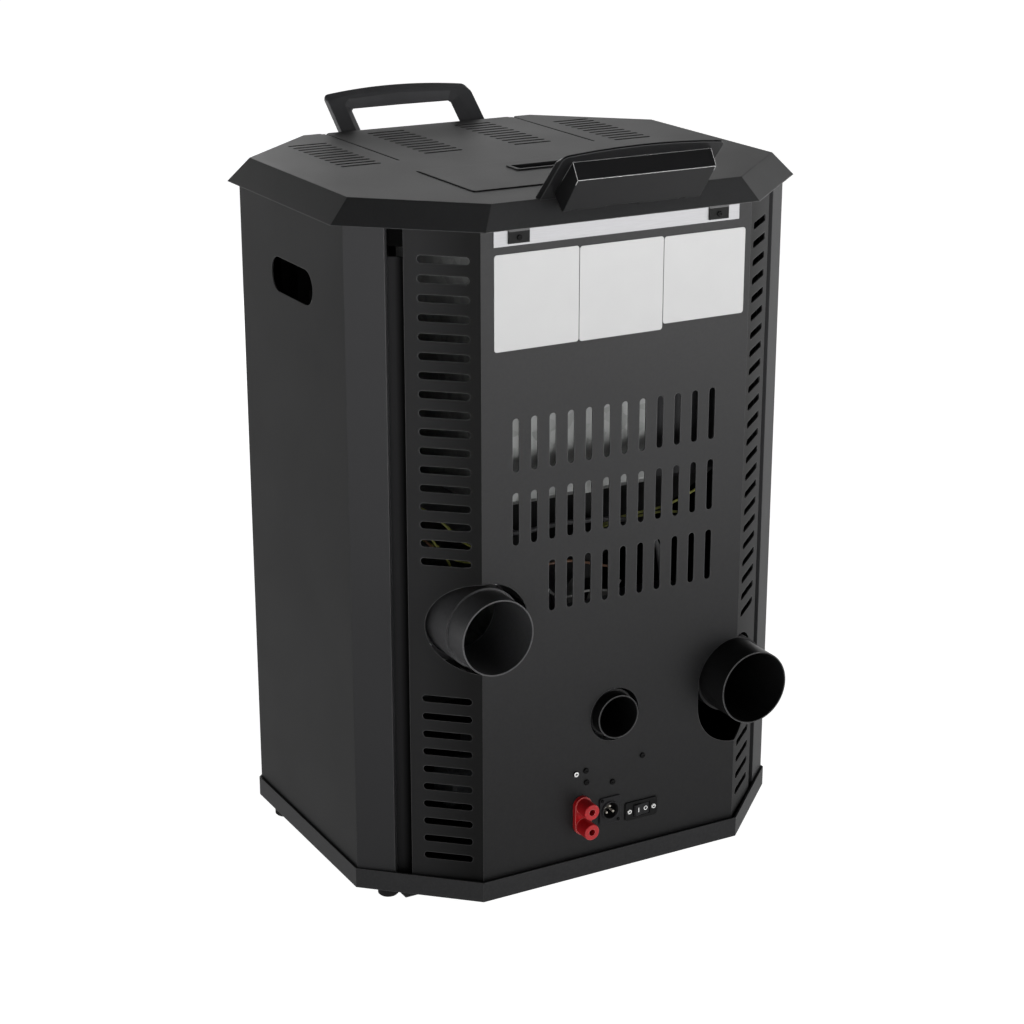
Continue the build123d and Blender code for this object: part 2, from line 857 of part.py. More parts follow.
def opening_face(half, top, crown, corner, depth):
    points = [
        (-half, -3),
        (half, -3),
        (half, top - corner),
        (half - corner * 0.8, top),
        (0, top + crown),
        (-half + corner * 0.8, top),
        (-half, top - corner),
    ]
    return Pos(0, 0, depth) * Polygon(*points, align=None)


def make_front_handle():
    arch = arch_blank(arch_height - front_drop)
    near = opening_face(arch_opening_half, arch_opening_top, arch_opening_crown, arch_opening_corner, 0)
    back_half = arch_opening_far_half
    back = opening_face(back_half, arch_opening_far_top, 0.5, arch_opening_corner / 3, arch_thickness)
    arch = arch - loft([near, back], ruled=True)
    return front_seat * arch - hood_envelope


def make_rear_arch():
    arch = arch_blank(arch_height)
    cut_half = fascia_half_width + fascia_gap
    cut_rows = (fascia_low - fascia_gap, fascia_high + fascia_gap)
    cut = block(-cut_half, cut_half, *cut_rows, -1, arch_thickness + 1)
    return rear_seat * (arch - cut) - hood_envelope


parts["front_handle"] = make_front_handle()
parts["rear_arch"] = make_rear_arch()


# Control unit: housing behind the arch, fascia, window, board and four buttons
def unit_section(inset, half):
    near = arch_thickness
    slope = (unit_front_high - unit_back_high) / unit_depth
    points = [
        (near, unit_low + inset),
        (near, unit_front_high - inset),
        (near + unit_depth - inset, unit_back_high + slope * inset - inset),
        (near + unit_low_depth - inset, unit_low + inset),
    ]
    profile = Plane(origin=(0, 0, 0), x_dir=(0, 0, 1), z_dir=(-1, 0, 0)) * Polygon(*points, align=None)
    return extrude(profile, amount=half, both=True)


def make_control_housing():
    shell = unit_section(0, unit_half_width)
    shell = chamfer(shell.edges().filter_by(Axis.X).group_by(Axis.Z)[-1], unit_bevel)
    notches = []
    back = arch_thickness + unit_low_depth
    for x, half in ((66.0, 3.0), (12.0, 18.0), (-56.0, 3.0)):
        notches.append(block(-x - half, -x + half, unit_low, unit_low + 3.0, back - 5, back + 1))
    cavity = unit_section(unit_wall, unit_half_width - unit_wall)
    return rear_seat * (shell - cavity - notches) - hood_envelope


def button_points():
    return [(x, s) for s in button_rows for x in button_columns]


def make_fascia():
    half = fascia_half_width
    back = fascia_inset + fascia_thickness
    fascia = block(-half, half, fascia_low, fascia_high, fascia_inset, back)
    w0 = window_x - window_half_width
    w1 = window_x + window_half_width
    fascia = fascia - block(w0, w1, window_low, window_high, fascia_inset, fascia_inset + window_thickness)
    for x, s in button_points():
        hole = button_radius + button_gap
        fascia = fascia - rod(hole, (x, s, 0), (x, s, 20))
    posts = []
    for x in (-fascia_half_width + 4, fascia_half_width - 4):
        for level in (fascia_low + 4, fascia_high - 4):
            posts.append(rod(2.2, (x, level, back), (x, level, far)))
    inside = block(-unit_half_width, unit_half_width, 0, unit_front_high, 0, arch_thickness)
    inside = inside + unit_section(unit_wall, unit_half_width - unit_wall)
    for post in posts:
        fascia = fascia + (post & inside)
    return rear_seat * fascia


def make_window():
    w0 = window_x - window_half_width
    w1 = window_x + window_half_width
    return rear_seat * block(w0, w1, window_low, window_high, fascia_inset, fascia_inset + window_thickness)


def make_board():
    depth = arch_thickness + display_board_gap
    half = fascia_half_width - 6.5
    board = block(-half, half, fascia_low + 7, fascia_high - 7, depth, depth + board_thickness)
    for x in (-half + 3, half - 3):
        board = board + block(x - 2, x + 2, fascia_low + 10, fascia_high - 10, depth + board_thickness, far)
    return rear_seat * (board & unit_section(unit_wall, unit_half_width - unit_wall))


def make_button(x, s):
    cap = rod(button_radius, (x, s, 0), (x, s, button_length))
    cap = fillet(cap.edges().group_by(Axis.Z)[0], 0.8)
    low = fascia_inset + fascia_thickness + 0.3
    cap = cap + rod(button_radius + button_flange, (x, s, low), (x, s, low + 1.2))
    return rear_seat * cap


parts["control_housing"] = make_control_housing()
parts["control_fascia"] = make_fascia()
parts["display_window"] = make_window()
parts["display_board"] = make_board()
button_names = ("button_down", "button_up", "button_menu", "button_power")
for button_name, (button_x, button_s) in zip(button_names, button_points()):
    parts[button_name] = make_button(button_x, button_s)


# Strip, plates and screws on the rear panel
def make_strip():
    x0, x1 = strip_x
    return block(x0, x1, body_half_depth, body_half_depth + strip_thickness, strip_low, strip_high)


def make_labels():
    labels = []
    outer_y = body_half_depth + label_thickness
    for x0, x1, low_drop, high_drop in label_boxes:
        label = block(x0, x1, body_half_depth, outer_y, panel_top_z - low_drop, panel_top_z - high_drop)
        labels.append(fillet(label.edges().filter_by(Axis.Y), label_corner))
    return together(labels)


def screw_head(x, y, z, radius, height):
    head = rod(radius, (x, y, z), (x, y + height, z))
    head = chamfer(head.edges().group_by(Axis.Y)[-1], height * 0.4)
    return head - Pos(x, y + height, z) * Box(radius * 1.2, height * 0.8, radius * 0.35)


def make_screws():
    heads = []
    for x, z in panel_screw_points:
        heads.append(screw_head(x, body_half_depth, z, screw_radius, screw_height))
    for side in (-1, 1):
        y = body_half_depth + switch_plate_thickness
        heads.append(screw_head(switch_x + side * switch_screw_offset, y, switch_z, 2.6, 1.4))
    for side in (-1, 1):
        y = body_half_depth + strip_thickness + tab_thickness
        heads.append(screw_head(side * tab_x, y, tab_low + 5.5, 2.8, 1.6))
        y = body_half_depth + inlet_plate_thickness
        x = inlet_x + side * inlet_screw_offset[0]
        z = inlet_z + side * inlet_screw_offset[1]
        heads.append(screw_head(x, y, z, 1.8, 1.2))
    return together(heads)


parts["silver_strip"] = make_strip()
parts["label_plates"] = make_labels()
parts["panel_screws"] = make_screws()


# Pipes
def make_stub(radius, x, z, back_y, stand, flange_reach):
    # A stub with a flange at its inner end and a wider socket up to just behind the rear panel.
    mouth_y = body_half_depth + stand
    stub = pipe(radius, pipe_wall, (x, back_y, z), (x, mouth_y, z))
    socket = pipe(radius + socket_wall, socket_wall + pipe_wall, (x, back_y, z), (x, socket_end_y, z))
    flange_radius = radius + flange_reach
    flange = pipe(flange_radius, flange_reach + pipe_wall, (x, back_y, z), (x, back_y + plate, z))
    return stub + socket + flange


def make_duct_pipe():
    stub = make_stub(duct_radius, duct_x, duct_z, duct_flange_y, duct_stand, pipe_flange)
    bolt_circle = duct_radius + pipe_flange / 2 + 2
    for angle in (35, 145, 215, 325):
        x = duct_x + bolt_circle * math.cos(math.radians(angle))
        z = duct_z + bolt_circle * math.sin(math.radians(angle))
        stub = stub + rod(2.6, (x, duct_flange_y + plate, z), (x, duct_flange_y + plate + 2, z))
    return stub


def make_flue_pipe():
    return make_stub(flue_radius, flue_x, flue_z, volute_outlet_y, flue_stand, pipe_flange)


def make_intake_pipe():
    stub = make_stub(intake_radius, intake_x, intake_z, firebox_back_y, intake_stand, pipe_flange - 4)
    tail_start = (intake_x, firebox_back_y - firebox_wall, intake_z)
    tail = pipe(intake_radius, pipe_wall, tail_start, (intake_x, firebox_back_y, intake_z))
    return stub + tail


parts["hot_air_pipe"] = make_duct_pipe()
parts["flue_pipe"] = make_flue_pipe()
parts["air_intake_pipe"] = make_intake_pipe()


# Mains inlet, rocker switch and the red twin socket
def make_inlet():
    y = body_half_depth
    face = block(
        inlet_x - inlet_plate_width / 2,
        inlet_x + inlet_plate_width / 2,
        y,
        y + inlet_plate_thickness,
        inlet_z - inlet_plate_height / 2,
        inlet_z + inlet_plate_height / 2,
    )
    face = fillet(face.edges().filter_by(Axis.Y), 3)
    rim_y = y + inlet_plate_thickness + 1.2
    inlet = face + rod(inlet_radius, (inlet_x, y - inlet_depth, inlet_z), (inlet_x, rim_y, inlet_z))
    hollow_end = (inlet_x, y + 5, inlet_z)
    inlet = inlet - rod(inlet_radius - 1.5, (inlet_x, y - inlet_depth + 8, inlet_z), hollow_end)
    for angle in (90, 210, 330):
        x = inlet_x + inlet_pin_circle * math.cos(math.radians(angle))
        z = inlet_z + inlet_pin_circle * math.sin(math.radians(angle))
        inlet = inlet + rod(inlet_pin_radius, (x, y - inlet_depth + 7, z), (x, y + 1, z))
    return inlet


def make_switch():
    y = body_half_depth
    half_w = switch_plate_width / 2
    half_h = switch_plate_height / 2
    x0 = switch_x - half_w
    x1 = switch_x + half_w
    frame = block(x0, x1, y, y + switch_plate_thickness, switch_z - half_h, switch_z + half_h)
    frame = fillet(frame.edges().filter_by(Axis.Y), 2.5)
    x0 = switch_x - switch_body_half
    x1 = switch_x + switch_body_half
    body_z = (switch_z - switch_body_rise, switch_z + switch_body_rise)
    frame = frame + block(x0, x1, y - switch_depth, y, *body_z)
    open_w = rocker_length / 2 + rocker_gap
    open_h = rocker_height / 2 + rocker_gap
    well = block(switch_x - open_w, switch_x + open_w, y - 9, y + 5, switch_z - open_h, switch_z + open_h)
    frame = frame - well
    axle_y = y - rocker_axle_depth
    for side in (-1, 1):
        wall_z = switch_z + side * open_h
        tip = (switch_x, axle_y, wall_z - side * 2)
        frame = frame + rod(rocker_axle_radius, (switch_x, axle_y, wall_z), tip)
    return frame


def make_rocker():
    y = body_half_depth
    half = rocker_length / 2
    low = switch_z - rocker_height / 2
    tilt = math.tan(math.radians(rocker_swing / 2))
    outline = [
        (switch_x - half, y + 1.6),
        (switch_x - half + 0.8, y - 2.5),
        (switch_x - 2.5, y - 5.0),
        (switch_x + 2.5, y - 5.0),
        (switch_x + half - 0.8, y - 2.5),
        (switch_x + half, y + 1.6 + 2 * half * tilt),
        (switch_x, y + 1.4 + half * tilt * 0.55),
    ]
    rocker = prism(outline, low, low + rocker_height)
    axle_start = (switch_x, y - rocker_axle_depth, low - 1)
    axle_end = (switch_x, y - rocker_axle_depth, low + rocker_height + 1)
    rocker = rocker & rod(half + 0.1, axle_start, axle_end)
    return rocker - rod(rocker_axle_radius + pin_clearance, axle_start, axle_end)


def make_terminals():
    y = body_half_depth
    x0 = terminal_x - terminal_radius
    x1 = terminal_x + terminal_radius
    ends = (terminal_z - terminal_pitch / 2, terminal_z + terminal_pitch / 2)
    socket = block(x0, x1, y, y + terminal_flange, *ends)
    for z in ends:
        barrel = rod(terminal_radius - 1.2, (terminal_x, y, z), (terminal_x, y + terminal_length, z))
        socket = socket + rod(terminal_radius, (terminal_x, y, z), (terminal_x, y + terminal_flange, z))
        socket = socket + fillet(barrel.edges().group_by(Axis.Y)[-1], 1.2)
        socket = socket + rod(terminal_stem_radius, (terminal_x, y - 12, z), (terminal_x, y, z))
    for z in ends:
        socket = socket - rod(terminal_bore, (terminal_x, y - 6, z), (terminal_x, y + terminal_length, z))
    return socket


parts["power_inlet"] = make_inlet()
parts["switch_housing"] = make_switch()
parts["switch_rocker"] = make_rocker()
parts["red_socket"] = make_terminals()


# Pellet feed geometry: the auger's axis and the chute's axis meet where the pellets drop
auger_run = -math.cos(math.radians(auger_angle))
auger_rise = math.sin(math.radians(auger_angle))
auger_dir = (0, auger_run, auger_rise)
auger_seat = Plane(origin=(0, *auger_low), x_dir=(1, 0, 0), z_dir=auger_dir)
drop_y = auger_low[0] + auger_run * auger_drop
drop_z = auger_low[1] + auger_rise * auger_drop
chute_slope = math.radians(chute_angle)
chute_run = drop_y - firebox_back_y
chute_wall_z = drop_z - chute_run * math.tan(chute_slope)
chute_reach = chute_run / math.cos(chute_slope) + chute_overlap
chute_seat = Plane(
    origin=(0, firebox_back_y, chute_wall_z),
    x_dir=(1, 0, 0),
    z_dir=(0, math.cos(chute_slope), math.sin(chute_slope)),
)


def on_auger(radius, start, length):
    seat = auger_seat * Pos(0, 0, start)
    return seat * Cylinder(radius, length, align=(Align.CENTER, Align.CENTER, Align.MIN))


def chute_bar(half, start, end):
    return chute_seat * block(-half, half, -half, half, start, end)


tube_solid = on_auger(auger_tube_radius, 0, auger_length)
below_auger = auger_seat * block(-far, far, -far, 0, -far, far)
above_auger = auger_seat * block(-far, far, 0, far, -far, far)
chute_outer = chute_bar(chute_half, -60.0, chute_reach)
chute_inner = chute_bar(chute_half - sheet, -60.0, chute_reach)
forward_cut = block(-far, far, -far, chute_end_y, 0, far)


# Firebox: welded steel box with hearth plate, ash space below and a front flange
def make_firebox():
    w = firebox_half_width
    t = firebox_wall
    box = block(-w, w, firebox_front_y, firebox_back_y, firebox_low, firebox_high)
    flange_half = w + firebox_flange
    flange_y = (firebox_front_y, firebox_front_y + t)
    box = box + block(-flange_half, flange_half, *flange_y, firebox_low, firebox_high)
    box = box - block(-w + t, w - t, firebox_front_y + t, firebox_back_y - t, hearth_top_z, firebox_high - t)
    box = box - block(-w + t, w - t, firebox_front_y + t, firebox_back_y - t, firebox_floor_z, hearth_z)
    half = fire_opening_half
    for low, high in ((fire_opening_low, fire_opening_high), (firebox_floor_z, door_low - 2)):
        box = box - block(-half, half, firebox_front_y - 1, firebox_front_y + t + 1, low, high)
    pot_x = pot_half_width + pot_play
    pot_y = pot_half_depth + pot_play
    pot_ends = (pot_centre_y - pot_y, pot_centre_y + pot_y)
    box = box - block(-pot_x, pot_x, *pot_ends, hearth_z - 1, hearth_top_z + 1)
    box = box - (chute_outer - forward_cut)
    behind = firebox_back_y + 1
    inside = firebox_back_y - t - 1
    box = box - rod(intake_radius, (intake_x, inside, intake_z), (intake_x, behind, intake_z))
    box = box - rod(igniter_sleeve_radius, (0, inside, igniter_z), (0, behind, igniter_z))
    smoke_x = collector_x - collector_half
    port_z = (collector_riser_high - 55, collector_riser_high - 10)
    box = box - block(smoke_x - 20, smoke_x + 20, inside, behind, *port_z)
    for side in (-1, 1):
        x0 = min(side * (w - t), side * (w - t - 8))
        ledge_y = firebox_back_y - t - baffle_depth
        box = box + block(x0, x0 + 8, ledge_y, firebox_back_y - t, liner_high - t, liner_high)
    return box + firebox_legs()


def firebox_legs():
    legs = []
    front_y = firebox_front_y + 20
    back_y = firebox_back_y - 10
    hole_z = (tray_floor_z + firebox_low) / 2 + 4
    for side in (-1, 1):
        x0 = min(side * (firebox_half_width - 4), side * (firebox_half_width - 4 - plate))
        foot_x = x0 if side > 0 else x0 + plate - leg_foot
        leg = block(x0, x0 + plate, front_y, back_y, tray_floor_z, firebox_low)
        leg = leg + block(foot_x, foot_x + leg_foot, front_y, back_y, tray_floor_z, tray_floor_z + plate)
        for y in (front_y + 45, back_y - 45):
            leg = leg - rod(leg_hole_radius, (x0 - 1, y, hole_z), (x0 + plate + 1, y, hole_z))
        legs.append(leg)
    return legs


def make_liner():
    t = firebox_wall
    inside = firebox_back_y - t
    half = firebox_half_width - t - 9
    liner = block(-half, half, inside - liner_thickness, inside, hearth_top_z + 22, liner_high)
    face_y = inside - liner_thickness
    for index in range(liner_rib_count):
        x = -half + (index + 0.5) * 2 * half / liner_rib_count
        liner = liner - block(x - 6, x + 6, face_y, face_y + 4, hearth_top_z + 60, liner_high - 20)
    hole = chute_bar(chute_half + 1, -60.0, 60.0)
    smoke_x = collector_x - collector_half
    vent_z = (collector_riser_high - 53, collector_riser_high - 12)
    vent = block(smoke_x - 18, smoke_x + 18, face_y - 1, inside + 1, *vent_z)
    return liner - hole - vent


def make_baffle():
    inside = firebox_back_y - firebox_wall
    half = firebox_half_width - firebox_wall - 1
    baffle = block(-half, half, inside - baffle_depth, inside, liner_high, liner_high + baffle_thickness)
    front_edge = baffle.edges().filter_by(Axis.X).group_by(Axis.Y)[0]
    return chamfer(front_edge, 3)


parts["firebox"] = make_firebox()
parts["back_liner"] = make_liner()
parts["baffle_plate"] = make_baffle()


# Burn pot: tapered cast cup with air holes, lifted out by its rim
def pot_taper_solid(inset, high, low):
    half_width = pot_half_width - inset
    half_depth = pot_half_depth - inset
    top = Pos(0, pot_centre_y, high) * Rectangle(2 * half_width, 2 * half_depth)
    foot = Pos(0, pot_centre_y, low) * Rectangle(2 * (half_width - pot_taper), 2 * (half_depth - pot_taper))
    return loft([top, foot], ruled=True)


def make_burn_pot():
    top_z = hearth_top_z
    bottom = hearth_top_z - pot_drop
    rim_x = pot_half_width + pot_rim
    rim_y = pot_half_depth + pot_rim
    rim = block(-rim_x, rim_x, pot_centre_y - rim_y, pot_centre_y + rim_y, top_z, top_z + pot_rim_thickness)
    pot = pot_taper_solid(0, top_z, bottom) + fillet(rim.edges().filter_by(Axis.Z), 6)
    mouth_x = pot_half_width - pot_wall
    mouth_y = pot_half_depth - pot_wall
    mouth_ends = (pot_centre_y - mouth_y, pot_centre_y + mouth_y)
    pot = pot - block(-mouth_x, mouth_x, *mouth_ends, top_z - 0.5, top_z + 10)
    pot = pot - pot_taper_solid(pot_wall, top_z, bottom + pot_wall)
    for column in range(-2, 3):
        for row in range(-1, 2):
            x = column * pot_hole_pitch[0]
            y = pot_centre_y + row * pot_hole_pitch[1]
            pot = pot - rod(pot_hole_radius, (x, y, bottom - 1), (x, y, bottom + pot_wall + 1))
    ignition_y = pot_centre_y + pot_half_depth
    return pot - rod(4.0, (0, ignition_y - 20, igniter_z), (0, ignition_y + 10, igniter_z))


parts["burn_pot"] = make_burn_pot()


# Ash drawer: folded tray behind a thick front with a pull
def make_ash_drawer():
    low = firebox_floor_z + drawer_low_gap
    w = drawer_half_width
    front_y = -(body_half_depth + drawer_front_gap)
    tray = block(-w, w, front_y, drawer_rear_y, low, drawer_high)
    inner = w - drawer_wall
    inner_y = (front_y + drawer_wall, drawer_rear_y - drawer_wall)
    tray = tray - block(-inner, inner, *inner_y, low + drawer_wall, drawer_high)
    face_y = front_y - drawer_front_thickness
    half = drawer_front_half
    face = block(-half, half, face_y, front_y, drawer_front_low, drawer_front_high)
    face = chamfer(face.faces().sort_by(Axis.Y)[0].edges(), 2.5)
    middle = (drawer_front_low + drawer_front_high) / 2
    grip_y = face_y - drawer_grip_reach
    grip = block(-drawer_grip_half, drawer_grip_half, grip_y, grip_y + 7, middle - 6, middle + 6)
    grip = fillet(grip.edges().filter_by(Axis.X), 3)
    for side in (-1, 1):
        post_x = side * (drawer_grip_half - 9)
        grip = grip + rod(4, (post_x, grip_y + 5, middle), (post_x, face_y, middle))
    return tray + face + grip


parts["ash_drawer"] = make_ash_drawer()


# Door: cast frame, ceramic window, clips, rope seal, hinges and handle
hinge_axis_y = door_back_y - door_thickness / 2


def make_door_frame():
    y0 = door_front_y
    y1 = door_back_y
    frame = block(-door_half_width, door_half_width, y0, y1, door_low, door_high)
    frame = fillet(frame.edges().filter_by(Axis.Y), 6)
    frame = chamfer(frame.faces().sort_by(Axis.Y)[0].edges(), door_bevel)
    window = block(-window_open_half, window_open_half, y0 - 1, y1 + 1, window_open_low, window_open_high)
    frame = frame - window
    face = Plane.XZ.offset(-y0) * Pos(0, (window_open_low + window_open_high) / 2)
    height = window_open_high - window_open_low
    wide = Rectangle(2 * (window_open_half + window_bevel), height + 2 * window_bevel)
    narrow = Rectangle(2 * window_open_half, height)
    frame = frame - loft([face * wide, face * Pos(0, 0, -window_bevel) * narrow], ruled=True)
    lap = window_open_half + glass_lap
    lap_low = window_open_low - glass_lap
    lap_high = window_open_high + glass_lap
    frame = frame - block(-lap, lap, y1 - rebate_depth, y1 + 1, lap_low, lap_high)
    frame = frame - seal_ring(seal_width + 2 * seal_groove_play, y1 - seal_groove_depth, y1 + 1)
    frame = frame - rod(handle_shaft_radius + 0.2, (handle_x, y0 - 1, handle_z), (handle_x, y1 + 1, handle_z))
    for z in hinge_heights:
        low = z - hinge_knuckle / 2
        high = z + hinge_knuckle / 2
        frame = frame + block(hinge_x, 2 - door_half_width, hinge_axis_y - 4, hinge_axis_y + 4, low, high)
        frame = frame + door_hinge_rod(hinge_radius, low, high)
        frame = frame - door_hinge_rod(hinge_pin_radius + pin_clearance, low - 10, high + 10)
    return frame


def door_hinge_rod(radius, low, high):
    return rod(radius, (hinge_x, hinge_axis_y, low), (hinge_x, hinge_axis_y, high))


def seal_ring(width, y0, y1):
    half = seal_half_width
    out = width / 2
    ring = block(-half - out, half + out, y0, y1, seal_low - out, seal_high + out)
    ring = fillet(ring.edges().filter_by(Axis.Y), seal_corner + out)
    core = block(-half + out, half - out, y0, y1, seal_low + out, seal_high - out)
    core = fillet(core.edges().filter_by(Axis.Y), seal_corner - out)
    return ring - core


def make_seal():
    ring = seal_ring(seal_width, door_back_y - seal_groove_depth, firebox_front_y - seal_gap)
    return chamfer(ring.faces().sort_by(Axis.Y)[-1].edges(), 1.8)


def make_glass():
    lap = window_open_half + glass_lap - glass_play
    low = window_open_low - glass_lap + glass_play
    high = window_open_high + glass_lap - glass_play
    y = door_back_y - rebate_depth
    return block(-lap, lap, y, y + glass_thickness, low, high)


def make_glass_clips():
    clips = []
    glass_y = door_back_y - rebate_depth + glass_thickness
    clip_y = door_back_y + clip_thickness
    middle = (window_open_low + window_open_high) / 2
    for side in (-1, 1):
        edge = side * (window_open_half + glass_lap)
        foot_x = sorted((edge - side * 9, edge - side * 1))
        lap_x = sorted((edge - side * 4, edge + side * 2.8))
        for centre_z in (middle - clip_spacing / 2, middle + clip_spacing / 2):
            low = centre_z - clip_length / 2
            high = centre_z + clip_length / 2
            foot = block(*foot_x, glass_y, clip_y, low, high)
            clips.append(foot + block(*lap_x, door_back_y, clip_y, low, high))
    return together(clips)


def make_door_handle():
    grip_y = door_front_y - handle_reach + handle_grip_radius
    tongue_y = firebox_front_y + handle_tongue_gap
    shaft_end = tongue_y + handle_tongue_thickness
    shaft = rod(handle_shaft_radius, (handle_x, grip_y, handle_z), (handle_x, shaft_end, handle_z))
    boss_y = (door_front_y - 6, door_front_y - 0.3)
    boss = rod(handle_boss_radius, (handle_x, boss_y[0], handle_z), (handle_x, boss_y[1], handle_z))
    grip_top = handle_z + 12
    grip = rod(handle_grip_radius, (handle_x, grip_y, grip_top - handle_length), (handle_x, grip_y, grip_top))
    grip = fillet(grip.edges().filter_by(GeomType.CIRCLE), 3)
    tongue_low = handle_z - handle_tongue
    tongue = block(handle_x - 6, handle_x + 6, tongue_y, shaft_end, tongue_low, handle_z + 6)
    return shaft + boss + grip + fillet(tongue.edges().filter_by(Axis.Y), 3)


def make_hinge_brackets():
    solids = []
    panel_y = -body_half_depth
    for z in hinge_heights:
        inner = hinge_knuckle / 2 + hinge_ear_gap
        reach = inner + hinge_ear
        bracket = door_hinge_rod(hinge_pin_radius, z - reach, z + reach)
        leaf_x = (0.5 - face_half_width, -door_half_width - 0.5)
        bracket = bracket + block(*leaf_x, panel_y - plate, panel_y, z - reach, z + reach)
        for low, high in ((z - reach, z - inner), (z + inner, z + reach)):
            ear = door_hinge_rod(hinge_radius, low, high)
            ear = ear + block(hinge_x - 4, 2 - face_half_width, hinge_axis_y, panel_y + 3, low, high)
            ear = ear - block(hinge_x - far, far, panel_y, far, low - 1, high + 1)
            bracket = bracket + ear
            arm = block(hinge_x - 3, 1 - face_half_width, panel_y - 3.5, panel_y - 0.3, low, high)
            bracket = bracket + arm
        solids.append(bracket)
    return together(solids)


parts["door_frame"] = make_door_frame()
parts["door_seal"] = make_seal()
parts["door_glass"] = make_glass()
parts["glass_clips"] = make_glass_clips()
parts["door_handle"] = make_door_handle()
parts["door_hinges"] = make_hinge_brackets()


# Hopper, its safety grille and the pellet feed
def hopper_shell(grow):
    half = hopper_half_width - grow
    y0 = hopper_front_y + grow
    y1 = hopper_rear_y - grow
    body = block(-half, half, y0, y1, hopper_body_low, hopper_body_high - grow)
    neck_half = hopper_neck_half - grow
    neck_y = (hopper_neck_front + grow, hopper_neck_rear - grow)
    neck = block(-neck_half, neck_half, *neck_y, hopper_body_high - 5, hood_under_z - 1)
    outlet = outlet_half_width - grow
    outlet_y = (outlet_front_y + grow, outlet_rear_y - grow)
    upper = Pos(0, (y0 + y1) / 2, hopper_body_low) * Rectangle(2 * half, y1 - y0)
    lower = Pos(0, sum(outlet_y) / 2, outlet_z) * Rectangle(2 * outlet, outlet_y[1] - outlet_y[0])
    funnel = loft([lower, upper], ruled=True)
    spout = block(-outlet, outlet, *outlet_y, outlet_z - outlet_drop, outlet_z)
    return body + neck + funnel + spout


def hopper_strap():
    # A flat strap from the hopper's rear wall down to the top of the gear motor's end plate.
    y0 = hopper_rear_y
    top = hopper_body_low + strap_lap
    bend = hopper_body_low - strap_bend_drop
    half_motor = auger_motor_size / 2
    foot_y = auger_low[0] + auger_rise * half_motor
    foot_z = auger_low[1] - auger_run * half_motor + 1.0
    outline = [
        (y0, top),
        (y0, bend),
        (foot_y, foot_z),
        (foot_y, foot_z - 4.0),
        (y0 + sheet, bend - 0.5),
        (y0 + sheet, top),
    ]
    x0 = strap_x - strap_width / 2
    room = auger_seat * block(-far, far, -far, half_motor + 0.3, -far, auger_end_plate + 0.3)
    return side_profile(outline, x0, x0 + strap_width) - room


def make_hopper():
    hopper = hopper_shell(0) - hopper_shell(hopper_wall)
    top_cut = block(-far, far, -far, far, hood_under_z - 1, far)
    lip_z = panel_top_z + plate
    half = hopper_neck_half
    lip_half = half + hopper_lip
    lip_y = (hopper_neck_front - hopper_lip, hopper_neck_rear + hopper_lip)
    lip = block(-lip_half, lip_half, *lip_y, lip_z, lip_z + hopper_wall)
    lip = lip - block(-half, half, hopper_neck_front, hopper_neck_rear, lip_z - 1, lip_z + 3)
    behind_end = auger_seat * block(-far, far, -far, far, -far, auger_end_plate + 3)
    return (hopper + lip) - top_cut - tube_solid - below_auger - behind_end + hopper_strap()


def make_grille():
    half = hopper_half_width - hopper_wall
    z0 = hopper_body_high - hopper_grille_drop
    z1 = z0 + hopper_grille_bar
    y0 = hopper_front_y + hopper_wall
    y1 = hopper_rear_y - hopper_wall
    bar = hopper_grille_bar / 2
    grille = block(-half, half, y0, y1, z0, z1) - block(6 - half, half - 6, y0 + 6, y1 - 6, z0, z1)
    for index in range(hopper_bar_count):
        x = (index + 1) * 2 * half / (hopper_bar_count + 1) - half
        grille = grille + block(x - bar, x + bar, y0 + 3, y1 - 3, z0, z1)
    middle = (y0 + y1) / 2
    return grille + block(3 - half, half - 3, middle - bar, middle + bar, z0, z1)


def make_auger_tube():
    flange = auger_motor_size / 2
    end_plate = auger_seat * block(-flange, flange, -flange, flange, 0, auger_end_plate)
    tube = tube_solid - on_auger(auger_tube_radius - auger_tube_wall, 0, auger_length)
    shaft_hole = on_auger(auger_shaft_radius + shaft_play, -auger_end_plate, 3 * auger_end_plate)
    cap = on_auger(auger_tube_radius, auger_length, auger_cap)
    inlet = block(
        hopper_wall - outlet_half_width,
        outlet_half_width - hopper_wall,
        outlet_front_y + hopper_wall,
        outlet_rear_y - hopper_wall,
        outlet_z - outlet_drop,
        outlet_z + 10,
    )
    outlet = chute_bar(chute_half - sheet, 0, chute_reach - 10) & below_auger
    return tube + (end_plate - shaft_hole) + cap - (inlet - below_auger) - outlet


def make_auger_screw():
    start = auger_end_plate + 6
    length = auger_length - start - 8
    depth = auger_screw_radius - auger_shaft_radius + 0.6
    middle = (auger_screw_radius + auger_shaft_radius - 0.6) / 2
    path = Helix(pitch=auger_pitch, height=length - auger_flight, radius=auger_screw_radius - 4)
    section = Plane.XZ * Pos(middle, auger_flight / 2) * Rectangle(depth, auger_flight)
    flight = sweep(section, path=path, is_frenet=True)
    shaft = on_auger(auger_shaft_radius, 0.5 - auger_socket, length + start + auger_socket + 3.5)
    return shaft + auger_seat * Pos(0, 0, start) * flight


def make_auger_motor():
    half = auger_motor_size / 2
    body = block(-half, half, -half, half, -auger_motor_length, 0)
    body = auger_seat * fillet(body.edges().filter_by(Axis.Z), 5)
    can_start = -auger_motor_length - auger_can_length
    can = auger_seat * Pos(0, -4, can_start) * Cylinder(
        auger_can_radius, auger_can_length, align=(Align.CENTER, Align.CENTER, Align.MIN)
    )
    return body + can - on_auger(auger_shaft_radius + shaft_play, -auger_socket, auger_socket)


def make_chute():
    return chute_outer - chute_inner - tube_solid - above_auger - forward_cut


